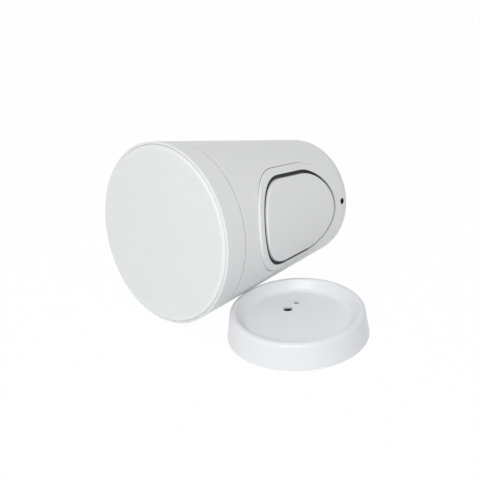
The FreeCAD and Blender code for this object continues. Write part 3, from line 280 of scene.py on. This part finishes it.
grain_group, g_in, g_out = new_group(
    "surface_grain",
    [("Fineness", FLOAT, 2500.0), ("Contrast", FLOAT, 1.0)],
    [("Height", FLOAT), ("Gloss", FLOAT)],
)
place = put(grain_group, "ShaderNodeTexCoord")
source = [("Vector", place.outputs["Object"]), ("Scale", g_in.outputs["Fineness"])]
fine = put(grain_group, "ShaderNodeTexNoise", source)
fixed(fine, Detail=2.0, Roughness=0.55)
factors = [(0, fine.outputs["Fac"]), (1, g_in.outputs["Contrast"])]
height = put(grain_group, "ShaderNodeMath", factors, operation="MULTIPLY")
grain_group.links.new(height.outputs[0], g_out.inputs["Height"])
grain_group.links.new(fine.outputs["Fac"], g_out.inputs["Gloss"])

drift_group, d_in, d_out = new_group(
    "colour_drift",
    [("Color", COLOR, (0.8, 0.8, 0.8, 1)), ("Spread", FLOAT, 30.0), ("Amount", FLOAT, 0.04)],
    [("Color", COLOR), ("Mask", FLOAT)],
)
place = put(drift_group, "ShaderNodeTexCoord")
source = [("Vector", place.outputs["Object"]), ("Scale", d_in.outputs["Spread"])]
slow = put(drift_group, "ShaderNodeTexNoise", source)
fixed(slow, Detail=3.0, Roughness=0.5)
factors = [(0, slow.outputs["Fac"]), (1, d_in.outputs["Amount"])]
depth = put(drift_group, "ShaderNodeMath", factors, operation="MULTIPLY")
shade = put(drift_group, "ShaderNodeMath", [(1, depth.outputs[0])], operation="SUBTRACT")
shade.inputs[0].default_value = 1.0
factors = [(0, d_in.outputs["Color"]), (1, shade.outputs[0])]
tinted = put(drift_group, "ShaderNodeVectorMath", factors, operation="MULTIPLY")
drift_group.links.new(tinted.outputs[0], d_out.inputs["Color"])
drift_group.links.new(slow.outputs["Fac"], d_out.inputs["Mask"])
print("groups:", [g.name for g in bpy.data.node_groups])

# %% [markdown]
# A finish is one Principled shader fed by the two groups. How metallic a surface is
# stays the same all over it, so that is set on the shader itself. Roughness is spread
# over a small range by the grain, so highlights break up as on real skins. Each row of
# the table holds the colour, the range of roughness, the grain's fineness and depth in
# mm, the drift's spread and amount and, for metals, how metallic they are.

# %% Finishes from the groups
LOOKS = {
    "white_plastic": ((0.83, 0.832, 0.833), (0.36, 0.46), (3200.0, 0.012), (18.0, 0.02)),
    "white_gloss": ((0.815, 0.824, 0.848), (0.26, 0.34), (2600.0, 0.006), (18.0, 0.015)),
    "grille_steel": ((0.835, 0.853, 0.847), (0.5, 0.62), (4200.0, 0.015), (25.0, 0.02)),
    "scrim_cloth": ((0.82, 0.84, 0.83), (0.85, 0.95), (5200.0, 0.06), (60.0, 0.06)),
    "foam": ((0.022, 0.022, 0.022), (0.88, 0.98), (1800.0, 0.2), (200.0, 0.4)),
    "black_rubber": ((0.014, 0.014, 0.014), (0.55, 0.75), (2600.0, 0.02), (90.0, 0.3)),
    "zinc_steel": ((0.6, 0.61, 0.63), (0.25, 0.42), (1500.0, 0.004), (140.0, 0.18), 1.0),
    "nickel": ((0.74, 0.73, 0.7), (0.1, 0.2), (1200.0, 0.002), (120.0, 0.06), 1.0),
    "black_plastic": ((0.025, 0.025, 0.026), (0.42, 0.58), (2400.0, 0.03), (40.0, 0.2)),
    "black_steel": ((0.02, 0.02, 0.021), (0.3, 0.42), (2200.0, 0.012), (40.0, 0.2)),
    "ferrite": ((0.05, 0.05, 0.053), (0.5, 0.66), (900.0, 0.03), (120.0, 0.3)),
    "paper": ((0.035, 0.035, 0.036), (0.7, 0.86), (1500.0, 0.09), (160.0, 0.4)),
    "spider_cloth": ((0.42, 0.28, 0.1), (0.7, 0.85), (2600.0, 0.08), (150.0, 0.25)),
    "copper": ((0.62, 0.27, 0.12), (0.25, 0.4), (2600.0, 0.03), (300.0, 0.25), 1.0),
    "dome_silk": ((0.03, 0.03, 0.036), (0.45, 0.6), (3600.0, 0.04), (120.0, 0.25)),
    "green_plastic": ((0.02, 0.22, 0.07), (0.35, 0.5), (2400.0, 0.02), (80.0, 0.12)),
    "board": ((0.015, 0.11, 0.035), (0.2, 0.34), (1400.0, 0.01), (260.0, 0.3)),
    "capacitor": ((0.012, 0.02, 0.12), (0.18, 0.28), (900.0, 0.004), (60.0, 0.1)),
    "lamination": ((0.16, 0.155, 0.15), (0.4, 0.6), (1200.0, 0.03), (200.0, 0.4), 0.6),
    "coil_tape": ((0.62, 0.42, 0.05), (0.2, 0.32), (900.0, 0.006), (120.0, 0.15)),
    "felt": ((0.46, 0.46, 0.43), (0.92, 1.0), (1100.0, 0.5), (220.0, 0.3)),
}


def finish(name, color, rough, grain, drift, metallic=0.0):
    """Material with drifting colour, grained roughness and a bump."""
    material = bpy.data.materials.new(name)
    material.use_nodes = True
    tree = material.node_tree
    tree.nodes.clear()
    skin = fixed(put(tree, "ShaderNodeBsdfPrincipled"), Metallic=metallic)
    tone = put(tree, "ShaderNodeGroup", node_tree=drift_group)
    fixed(tone, Color=(*color, 1), Spread=drift[0], Amount=drift[1])
    tree.links.new(tone.outputs["Color"], skin.inputs["Base Color"])
    bumps = put(tree, "ShaderNodeGroup", node_tree=grain_group)
    fixed(bumps, Fineness=grain[0], Contrast=1.0)
    spread = put(tree, "ShaderNodeMapRange", [("Value", bumps.outputs["Gloss"])])
    fixed(spread, To_Min=rough[0], To_Max=rough[1])
    tree.links.new(spread.outputs["Result"], skin.inputs["Roughness"])
    relief = put(tree, "ShaderNodeBump", [("Height", bumps.outputs["Height"])])
    fixed(relief, Strength=1.0, Distance=grain[1] * MM)
    tree.links.new(relief.outputs["Normal"], skin.inputs["Normal"])
    put(tree, "ShaderNodeOutputMaterial", [("Surface", skin.outputs["BSDF"])])
    return material


finishes = {name: finish(name, *values) for name, values in LOOKS.items()}
slot_of = {row["node"]: row["material_slot"] for row in record["subparts"]}
for name, node in nodes.items():
    node.data.materials.clear()
    node.data.materials.append(finishes[slot_of[name]])
print("finishes:", len(finishes))

# %% [markdown]
# All new pieces go the same way: a shape is drawn in a bmesh, carried to its place,
# given its finish and tied to the body that it moves with. Round walls are drawn ring by
# ring. Helpers do both, so that the later cells are about their shapes alone.

# %% Helpers for new pieces
SMOOTH_ANGLE = 35.0


def piece(name, bm, place, slot, body, smooth_angle=SMOOTH_ANGLE):
    """Object from a bmesh drawn in a frame of its own, carried to its place, finished and riding."""
    bmesh.ops.transform(bm, matrix=place, verts=bm.verts)
    mesh = bpy.data.meshes.new(name)
    bm.to_mesh(mesh)
    bm.free()
    mesh.shade_smooth()
    mesh.set_sharp_from_angle(angle=math.radians(smooth_angle))
    mesh.materials.append(finishes[slot])
    obj = bpy.data.objects.new(name, mesh)
    bpy.context.scene.collection.objects.link(obj)
    if body:
        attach(obj, body)
    return obj


def edges_within(bm, verts):
    """Edges that have both ends among some vertices."""
    chosen = set(verts)
    return [e for e in bm.edges if e.verts[0] in chosen and e.verts[1] in chosen]


def ring_extrude(bm, edges, factor, rise):
    """Draws a ring of edges on to the next ring: scaled about Z and moved along it."""
    made = bmesh.ops.extrude_edge_only(bm, edges=edges)["geom"]
    verts = [g for g in made if isinstance(g, bmesh.types.BMVert)]
    bmesh.ops.scale(bm, vec=(factor, factor, 1), verts=verts)
    bmesh.ops.translate(bm, vec=(0, 0, rise), verts=verts)
    return edges_within(bm, verts)


print("edges look smooth up to", SMOOTH_ANGLE, "degrees")

# %% [markdown]
# The grille is a pressed steel pan, punched with small round holes in a close
# pattern. A texture could fake the holes, but real holes catch the light. A sheared
# grid of equal triangles has its corners exactly where the punch strikes, so cutting
# off every corner with a vertex bevel makes all the holes in one go.

# %% Punched sheet of the grille
GRILLE_R = 80.4 * MM
GRILLE_ROUND = 2.3 * MM
PUNCH_PITCH = 1.8 * MM
PUNCH_R = 0.34 * MM
BARE_BORDER = 0.8 * MM
GRID_SPAN = 3.3
ROUND_PARTS = 192

flat_r = GRILLE_R - GRILLE_ROUND
cells = int(GRID_SPAN * flat_r / PUNCH_PITCH)
pan = bmesh.new()
bmesh.ops.create_grid(pan, x_segments=cells, y_segments=cells, size=cells * PUNCH_PITCH / 2)
to_triangles = Matrix(((1, 0.5, 0, 0), (0, math.sqrt(0.75), 0, 0), (0, 0, 1, 0), (0, 0, 0, 1)))
bmesh.ops.transform(pan, matrix=to_triangles, verts=pan.verts)
outside = [v for v in pan.verts if v.co.xy.length > flat_r - BARE_BORDER / 2]
bmesh.ops.delete(pan, geom=outside, context="VERTS")
bmesh.ops.triangulate(pan, faces=pan.faces, quad_method="SHORT_EDGE")
inner_rim = [e for e in pan.edges if e.is_boundary]
struck = [v for v in pan.verts if v.co.xy.length < flat_r - BARE_BORDER]
circle = bmesh.ops.create_circle(pan, segments=ROUND_PARTS, radius=flat_r)["verts"]
ring = edges_within(pan, circle)
bmesh.ops.triangle_fill(pan, edges=inner_rim + ring, use_beauty=True)
holes = bmesh.ops.bevel(
    pan, geom=struck, offset=PUNCH_R, offset_type="OFFSET", affect="VERTICES", segments=1, profile=0.5,
    material=-1
)["faces"]
bmesh.ops.delete(pan, geom=holes, context="FACES")
print("struck holes:", len(struck), "sheet faces:", len(pan.faces))

# %% [markdown]
# The edge of the sheet is pressed over into a round and a straight wall. Every extrusion
# draws the next ring along that curve. At the end, solidify gives the pan and all its
# holes the thickness of the steel at once.

# %% Pressed edge of the grille
GRILLE_PROUD = 1.9 * MM
GRILLE_DEPTH = 7.0 * MM
GRILLE_T = 0.9 * MM
EDGE_STEPS = 6
PAN_SMOOTH = 30.0

last_r = flat_r
last_z = 0.0
for step in range(1, EDGE_STEPS + 1):
    turn = math.pi / 2 * step / EDGE_STEPS
    next_r = flat_r + GRILLE_ROUND * math.sin(turn)
    next_z = GRILLE_ROUND * (1 - math.cos(turn))
    ring = ring_extrude(pan, ring, next_r / last_r, next_z - last_z)
    last_r = next_r
    last_z = next_z
ring_extrude(pan, ring, 1.0, GRILLE_DEPTH + GRILLE_PROUD - GRILLE_ROUND)
bmesh.ops.recalc_face_normals(pan, faces=pan.faces)
middle_face = min(pan.faces, key=lambda f: f.calc_center_median().length)
if middle_face.normal.z > 0:
    bmesh.ops.reverse_faces(pan, faces=pan.faces)
bmesh.ops.solidify(pan, geom=pan.faces[:], thickness=GRILLE_T)
pan_z = [v.co.z / MM for v in pan.verts]
print("pan faces:", len(pan.faces), "z in mm:", round(min(pan_z), 2), round(max(pan_z), 2))
pan_place = SPEAKER @ Matrix.Translation((0, 0, -GRILLE_PROUD))
grille = piece("punched_grille", pan, pan_place, "grille_steel", "grille_pan", PAN_SMOOTH)
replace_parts(grille, "grille")

# %% [markdown]
# The surround and the spider are soft rings that stretch between the still frame and the moving cone. Each is
# drawn as a profile and spun, in twelve equal parts.

# %% Soft rings in parts
RING_PARTS = 12
SPIN_STEPS = 8


def spun_part(path, sweep):
    """Closed profile in the XZ plane spun about Z by an angle, centred on X, with capped ends."""
    bm = bmesh.new()
    verts = [bm.verts.new((r, 0, z)) for r, z in path]
    face = bm.faces.new(verts)
    bmesh.ops.rotate(bm, verts=verts, matrix=Matrix.Rotation(-sweep / 2, 3, "Z"))
    bmesh.ops.spin(
        bm, geom=[face], axis=(0, 0, 1), cent=(0, 0, 0), angle=sweep, steps=SPIN_STEPS, use_duplicate=False
    )
    bmesh.ops.recalc_face_normals(bm, faces=bm.faces)
    return bm


def soft_ring(name, node, path, slot):
    """Ring of equal spun parts, each turned to its place and tied to no body."""
    sweep = 2 * math.pi / RING_PARTS
    for k in range(RING_PARTS):
        turn = SPEAKER @ Matrix.Rotation(sweep * k, 4, "Z")
        part = piece(f"{name}_{k + 1:02d}", spun_part(path, sweep), turn, slot, None)
        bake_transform(part)
        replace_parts(part, node)


print("degrees in a part:", 360 / RING_PARTS)

# %% [markdown]
# The surround is the rubber ring at the cone's edge: a half roll between two flat feet,
# one glued to the cone and one to the frame. Its profile runs out along the front, over
# a wider arc, and comes back behind it over a narrower one.

# %% Surround of the cone
FLANGE_FRONT = 10.8 * MM
ROLL_FROM = 40.2 * MM
ROLL_TO = 44.9 * MM
ROLL_H = 2.8 * MM
ROLL_STEPS = 10
RUBBER_T = 0.8 * MM
GLUE_IN = 37.55 * MM
GLUE_OUT = 47.5 * MM


def roll(z, half, outwards):
    """Points of the half roll from one foot to the other."""
    middle = (ROLL_FROM + ROLL_TO) / 2
    shares = [k / ROLL_STEPS for k in range(ROLL_STEPS + 1)]
    order = shares if outwards else shares[::-1]
    return [(middle - half * math.cos(math.pi * s), z - ROLL_H * math.sin(math.pi * s)) for s in order]


roll_half = (ROLL_TO - ROLL_FROM) / 2
lip = FLANGE_FRONT - RUBBER_T
surround_path = (
    [(GLUE_IN, FLANGE_FRONT), (GLUE_IN, lip)]
    + roll(lip, roll_half + RUBBER_T, True)
    + [(GLUE_OUT, lip), (GLUE_OUT, FLANGE_FRONT)]
    + roll(FLANGE_FRONT, roll_half, False)
)
soft_ring("surround", "woofer_surround", surround_path, "black_rubber")
print("points in the surround's profile:", len(surround_path))

# %% [markdown]
# The spider is the cloth ring behind the cone that keeps the coil in the middle. It is
# pressed into round waves, so its profile is a sine that ends in a flat foot, and the
# same line a little further forward closes it.

# %% Spider of the cone
SPIDER_Z = 44.0 * MM
SPIDER_IN = 12.95 * MM
SPIDER_FLAT = 24.9 * MM
SPIDER_OUT = 31.35 * MM
SPIDER_T = 0.5 * MM
SPIDER_WAVE = 1.2 * MM
WAVES = 4
WAVE_POINTS = 24

wave_r = [SPIDER_IN + (SPIDER_FLAT - SPIDER_IN) * k / WAVE_POINTS for k in range(WAVE_POINTS + 1)]
wave_z = [
    SPIDER_Z - SPIDER_WAVE * math.sin(2 * math.pi * WAVES * k / WAVE_POINTS) for k in range(WAVE_POINTS + 1)
]
back_line = list(zip(wave_r, wave_z)) + [(SPIDER_OUT, SPIDER_Z)]
spider_path = back_line + [(r, z - SPIDER_T) for r, z in reversed(back_line)]
soft_ring("spider_cloth", "spider", spider_path, "spider_cloth")
print("points in the spider's profile:", len(spider_path))

# %% [markdown]
# The screws that hold the woofer, the front band and the tray have domed heads with a
# cross recess. The solids have plain round heads, so a finer screw takes their place.
# It starts from the circle of the head's flat top with a cross inside it: the space
# between is filled, the cross is drawn down into a hole and the circle down the side.

# %% A cross-head screw
HEAD_PARTS = 24
HEAD_FLAT = 0.68
HEAD_DOME = ((HEAD_FLAT, 1.0), (0.87, 0.88), (1.0, 0.5), (1.0, 0.0))
CROSS_ARM = 0.15
CROSS_REACH = 0.5
CROSS_DEPTH = 0.6
CROSS_NARROWING = 0.7


def loop_of(bm, points):
    """Closed loop of edges through points, in order."""
    verts = [bm.verts.new(p) for p in points]
    return [bm.edges.new((verts[k - 1], verts[k])) for k in range(len(verts))]


def cross_screw(head_r, head_h, shank_r, shank_l):
    """Screw with its head above z = 0 and its shank below."""
    bm = bmesh.new()
    arm = CROSS_ARM * head_r
    reach = CROSS_REACH * head_r
    quarter = [(reach, -arm, head_h), (reach, arm, head_h), (arm, arm, head_h)]
    corners = [Matrix.Rotation(math.pi / 2 * k, 3, "Z") @ Vector(p) for k in range(4) for p in quarter]
    cross = loop_of(bm, corners)
    rim = bmesh.ops.create_circle(bm, segments=HEAD_PARTS, radius=HEAD_FLAT * head_r)["verts"]
    bmesh.ops.translate(bm, vec=(0, 0, head_h), verts=rim)
    ring = edges_within(bm, rim)
    bmesh.ops.triangle_fill(bm, edges=cross + ring, use_beauty=True)
    bottom = ring_extrude(bm, cross, CROSS_NARROWING, -CROSS_DEPTH * head_h)
    bmesh.ops.contextual_create(bm, geom=bottom)
    head = [(r * head_r, h * head_h) for r, h in HEAD_DOME]
    path = head + [(shank_r, 0), (shank_r, -shank_l)]
    for (r0, z0), (r1, z1) in zip(path, path[1:]):
        ring = ring_extrude(bm, ring, r1 / r0, z1 - z0)
    bmesh.ops.contextual_create(bm, geom=ring)
    bmesh.ops.recalc_face_normals(bm, faces=bm.faces)
    return bm


print("sides of a screw head:", HEAD_PARTS)

# %% [markdown]
# The same screw comes in three sets: six in the front band, four in the woofer's frame
# and four in the tray's flange. Each set is one piece with a copy at every place. A size
# is the head's radius and height and the shank's radius and length, in mm.

# %% Sets of screws
BAND_SCREW = (3.2, 2.2, 1.7, 26.0)
DRIVER_SCREW = (2.6, 2.2, 1.4, 10.9)
FLANGE_SCREW = (2.0, 1.2, 1.2, 7.0)
BAND_RING = {"radius": 70.0 * MM, "z": 14.0 * MM, "count": 6, "start": 30.0}
DRIVER_RING = {"radius": 51.0 * MM, "z": 10.8 * MM, "count": 4, "start": 45.0}
FLANGE_PLACES = (
    (-8.0, -32.1, -12.499),
    (-8.0, 32.1, -12.499),
    (17.0, -30.396, -12.201),
    (17.0, 30.396, -12.201),
)
SCREW_SMOOTH = 30.0


def several(make, places):
    """One bmesh with a copy of a shape at each place."""
    whole = bmesh.new()
    one = bpy.data.meshes.new("one")
    for place in places:
        bm = make()
        bmesh.ops.transform(bm, matrix=place, verts=bm.verts)
        bm.to_mesh(one)
        bm.free()
        whole.from_mesh(one)
    bpy.data.meshes.remove(one)
    return whole


def front_ring(radius, z, count, start):
    """Places on a ring in front of the speaker, with each shape's Z towards the front."""
    lie = Matrix.Translation((radius, 0, z)) @ Matrix.Rotation(math.pi, 4, "X")
    turns = [math.radians(start) + 2 * math.pi * k / count for k in range(count)]
    return [Matrix.Rotation(turn, 4, "Z") @ lie for turn in turns]


def screws(name, node, size, places, frame_of):
    """Set of cross-head screws in place of a node."""
    sized = [v * MM for v in size]
    made = several(lambda: cross_screw(*sized), places)
    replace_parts(piece(name, made, frame_of, "zinc_steel", "housing", SCREW_SMOOTH), node)


band_places = front_ring(**BAND_RING)
driver_places = front_ring(**DRIVER_RING)
flange_places = [Matrix.Translation(Vector(p) * MM) for p in FLANGE_PLACES]
screws("band_screws", "baffle_screws", BAND_SCREW, band_places, SPEAKER)
screws("driver_screws", "woofer_screws", DRIVER_SCREW, driver_places, SPEAKER)
screws("flange_screws", "tray_screws", FLANGE_SCREW, flange_places, COVER)
print("cross-head screws:", len(band_places + driver_places + flange_places))

# %% [markdown]
# The hanging point and the small hole in the side are threaded. A thread is a spiral,
# but in a hole this small a row of equal grooves can't be told from it, and a profile
# with the grooves in it makes the whole bush in one full spin. Outlines are pairs of
# radius and z in mm, and a thread is its pitch and depth. The side bush stands square
# on the housing's cone.

# %% Threaded bushes
HANG_OUTLINE = [
    (2.55, 178.0), (6.5, 178.0), (6.5, 180.0), (9.5, 180.0), (9.5, 183.0), (6.5, 183.0), (6.5, 194.5)
]
HANG_THREAD = (1.0, 0.45)
SIDE_OUTLINE = [(2.1, -11.5), (4.0, -11.5), (4.0, -2.5)]
SIDE_THREAD = (0.8, 0.36)
GROOVE_BOTTOM = 0.5
GROOVE_END = 0.9
BUSH_STEPS = 48
BUSH_SMOOTH = 25.0
WELD = 1e-7
HOUSING_R = 83.0 * MM
REAR_R = 51.4 * MM
HOUSING_L = 195.0 * MM
TAPER = (HOUSING_R - REAR_R) / HOUSING_L
SIDE_HOLE_Z = 175.3 * MM


def turned_ring(points, steps):
    """Closed outline of (radius, z) points, spun once about Z."""
    bm = bmesh.new()
    edges = loop_of(bm, [(r * MM, 0, z * MM) for r, z in points])
    bmesh.ops.spin(
        bm, geom=bm.verts[:] + edges, axis=(0, 0, 1), cent=(0, 0, 0), angle=2 * math.pi, steps=steps,
        use_merge=True, use_duplicate=False
    )
    bmesh.ops.remove_doubles(bm, verts=bm.verts, dist=WELD)
    bmesh.ops.recalc_face_normals(bm, faces=bm.faces)
    return bm


def grooved_bush(outline, pitch, depth):
    """Turned bush; its outline starts at the foot of the bore, which gets a groove at each pitch."""
    bore_r, foot = outline[0]
    mouth = outline[-1][1]
    bore = [(bore_r, mouth)]
    for k in range(int((mouth - foot) / pitch)):
        top = mouth - pitch * k
        bore += [(bore_r + depth, top - GROOVE_BOTTOM * pitch), (bore_r, top - GROOVE_END * pitch)]
    return turned_ring(outline + bore, BUSH_STEPS)


hang_form = grooved_bush(HANG_OUTLINE, *HANG_THREAD)
hang_bush = piece("hang_bush", hang_form, SPEAKER, "zinc_steel", "housing", BUSH_SMOOTH)
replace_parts(hang_bush, "hang_insert")
on_wall = Vector((HOUSING_R - TAPER * SIDE_HOLE_Z, 0, SIDE_HOLE_Z))
along_wall = Vector((-TAPER, 0, 1)).normalized()
out_of_wall = Vector((1, 0, TAPER)).normalized()
SIDE_HOLE = SPEAKER @ frame_matrix(on_wall, along_wall, out_of_wall)
side_form = grooved_bush(SIDE_OUTLINE, *SIDE_THREAD)
# The bush's black steel finish is partly a blackened insert and partly painted shade that keeps the side hole
# dark.
side_bush = piece("side_bush", side_form, SIDE_HOLE, "black_steel", "housing", BUSH_SMOOTH)
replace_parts(side_bush, "safety_insert")
print("bush faces:", len(hang_bush.data.polygons), len(side_bush.data.polygons))

# %% [markdown]
# Two thin dark rings are left, both painted shade. Front band and shell meet in a fine groove all round, and the
# shade at its bottom is painted as a black hairline ring. The mouth of the hole in the side gets a black ring of
# painted shade, so the hole looks dark from a low angle too. A small square outline spun once about its axis makes
# each of them. A section is its inner and outer radius and its two heights, in mm.

# %% Rings of painted shade
SEAM_SHADE_SECTION = (78.5, 78.7, 25.4, 25.6)
HOLE_SHADE_SECTION = (2.6, 2.88, -2.45, -0.2)


def square_ring(section, steps):
    """Ring with a four-sided section."""
    in_r, out_r, near_z, far_z = section
    return turned_ring([(in_r, near_z), (out_r, near_z), (out_r, far_z), (in_r, far_z)], steps)


# The seam ring is painted shade: a black hairline where the groove's shadow falls.
seam_shade_form = square_ring(SEAM_SHADE_SECTION, ROUND_PARTS)
seam_shade = piece("seam_shade", seam_shade_form, SPEAKER, "black_rubber", "housing")
# The sleeve is painted shade: a black ring that darkens the mouth of the side hole.
hole_shade_form = square_ring(HOLE_SHADE_SECTION, BUSH_STEPS)
hole_shade = piece("hole_shade", hole_shade_form, SIDE_HOLE, "black_rubber", "housing")
print("ring faces:", len(seam_shade.data.polygons), len(hole_shade.data.polygons))

# %% [markdown]
# The raised pad round the cover meets the housing in a sharp inside corner, whose shade shows as a dark hairline
# along the pad's upper and lower sides; that shade is painted on as a black line. The line follows the pad's
# outline, two round ends with straight sides, and each of its points is let down on the housing's cone by halving.
# A round end is the place of its middle and its radius.

# %% Path beside the pad
PAD_FRONT = (-16.45 * MM, 47.0 * MM)
PAD_REAR = (18.85 * MM, 44.6 * MM)
FRONT_TURN = math.radians(150)
REAR_TURN = math.radians(60)
FRONT_STEPS = 14
SIDE_STEPS = 8
REAR_STEPS = 5
FAR_UNDER = -45 * MM
FAR_OVER = 10 * MM
HALVINGS = 40
cover_on_speaker = SPEAKER.inverted() @ COVER


def on_housing(u, v):
    """Point of the housing's cone over a place on the cover, in the speaker's frame."""
    under = FAR_UNDER
    over = FAR_OVER
    for _ in range(HALVINGS):
        middle = (under + over) / 2
        point = cover_on_speaker @ Vector((u, v, middle))
        if point.xy.length < HOUSING_R - TAPER * point.z:
            under = middle
        else:
            over = middle
    return point


def round_end(end, first, last, steps):
    """Places along one of the pad's round ends, from one angle to another."""
    middle, radius = end
    angles = [first + (last - first) * k / steps for k in range(steps + 1)]
    return [(middle + radius * math.cos(a), radius * math.sin(a)) for a in angles]


def pad_side(side):
    """Points along one side of the pad, from its front end to its rear end."""
    turn = math.acos((PAD_FRONT[1] - PAD_REAR[1]) / (PAD_REAR[0] - PAD_FRONT[0]))
    front = round_end(PAD_FRONT, FRONT_TURN, turn, FRONT_STEPS)
    rear = round_end(PAD_REAR, turn, REAR_TURN, REAR_STEPS)
    (u0, v0), (u1, v1) = front[-1], rear[0]
    shares = [k / SIDE_STEPS for k in range(1, SIDE_STEPS)]
    straight = [(u0 + (u1 - u0) * s, v0 + (v1 - v0) * s) for s in shares]
    return [on_housing(u, side * v) for u, v in front + straight + rear]


print("points along a side of the pad:", len(pad_side(1)))

# %% [markdown]
# The painted shade is a flat black ribbon on this path. Each point gets one corner on either side, the two rows of
# corners are bridged, and solidify makes the ribbon a closed body. It gets thinner towards both ends, as the
# corner's shade does where the pad sinks in.

# %% Painted shade beside the pad
PAD_SHADE_W = 0.45 * MM
PAD_SHADE_T = 0.12 * MM
THINNEST = 0.08
FRONT_GROWTH = 3
REAR_GROWTH = 4

pad_shade_lines = bmesh.new()
for side in (1, -1):
    points = pad_side(side)
    rows = ([], [])
    for k, point in enumerate(points):
        along = points[min(k + 1, len(points) - 1)] - points[max(k - 1, 0)]
        outward = Vector((point.x, point.y, TAPER * point.xy.length)).normalized()
        across = along.cross(outward).normalized()
        part = k / (len(points) - 1)
        half = PAD_SHADE_W / 2 * max(THINNEST, min(1, FRONT_GROWTH * part, REAR_GROWTH * (1 - part)))
        for row, reach in zip(rows, (half, -half)):
            row.append(pad_shade_lines.verts.new(point + across * reach + outward * PAD_SHADE_T / 2))
    edges = [pad_shade_lines.edges.new(pair) for row in rows for pair in zip(row, row[1:])]
    bmesh.ops.bridge_loops(pad_shade_lines, edges=edges)
bmesh.ops.recalc_face_normals(pad_shade_lines, faces=pad_shade_lines.faces)
bmesh.ops.solidify(pad_shade_lines, geom=pad_shade_lines.faces[:], thickness=PAD_SHADE_T)
bmesh.ops.recalc_face_normals(pad_shade_lines, faces=pad_shade_lines.faces)
# The ribbon is painted shade: black where the pad's inside corner falls into shadow.
pad_shade_line = piece("pad_shade_line", pad_shade_lines, SPEAKER, "black_rubber", "housing")
print("pad line faces:", len(pad_shade_line.data.polygons))

# %% [markdown]
# The power tap is set with a knob under the cover. A white line on its bar shows the
# setting, and a ring of six raised dots on the tray's floor marks the taps, one at
# each thirty degrees. The line rides on the knob, and the dots stay with the tray.

# %% Knob line and tap dots
KNOB_AT = Vector((8.0, 13.0, 0)) * MM
KNOB_TOP = -31.0 * MM
LINE_SIZE = Vector((5.4, 0.9, 0.3)) * MM
LINE_MIDDLE = 4.9 * MM
LINE_BEVEL = 0.1 * MM
TRAY_FLOOR = -45.0 * MM
TAPS = 6
TAP_STEP = math.radians(30)
DOT_RING_R = 11.2 * MM
DOT_R = 0.7 * MM
DOT_FLATTEN = 0.6

line = bmesh.new()
bmesh.ops.create_cube(line, size=1.0)
bmesh.ops.scale(line, vec=LINE_SIZE, verts=line.verts)
bmesh.ops.bevel(
    line, geom=line.edges[:], offset=LINE_BEVEL, affect="EDGES", segments=2, profile=0.5, material=-1
)
bmesh.ops.translate(line, vec=KNOB_AT + Vector((LINE_MIDDLE, 0, KNOB_TOP)), verts=line.verts)
piece("knob_line", line, COVER, "white_plastic", "tap")


def tap_dot():
    """Low round dot, half sunk in the floor it stands on."""
    bm = bmesh.new()
    bmesh.ops.create_uvsphere(bm, u_segments=16, v_segments=8, radius=DOT_R)
    bmesh.ops.scale(bm, vec=(1, 1, DOT_FLATTEN), verts=bm.verts)
    return bm


dot_places = [
    Matrix.Translation(KNOB_AT + Vector((0, 0, TRAY_FLOOR)))
    @ Matrix.Rotation(TAP_STEP * k, 4, "Z")
    @ Matrix.Translation((DOT_RING_R, 0, 0))
    for k in range(TAPS)
]
piece("tap_dots", several(tap_dot, dot_places), COVER, "white_plastic", "housing")
print("tap dots:", len(dot_places))
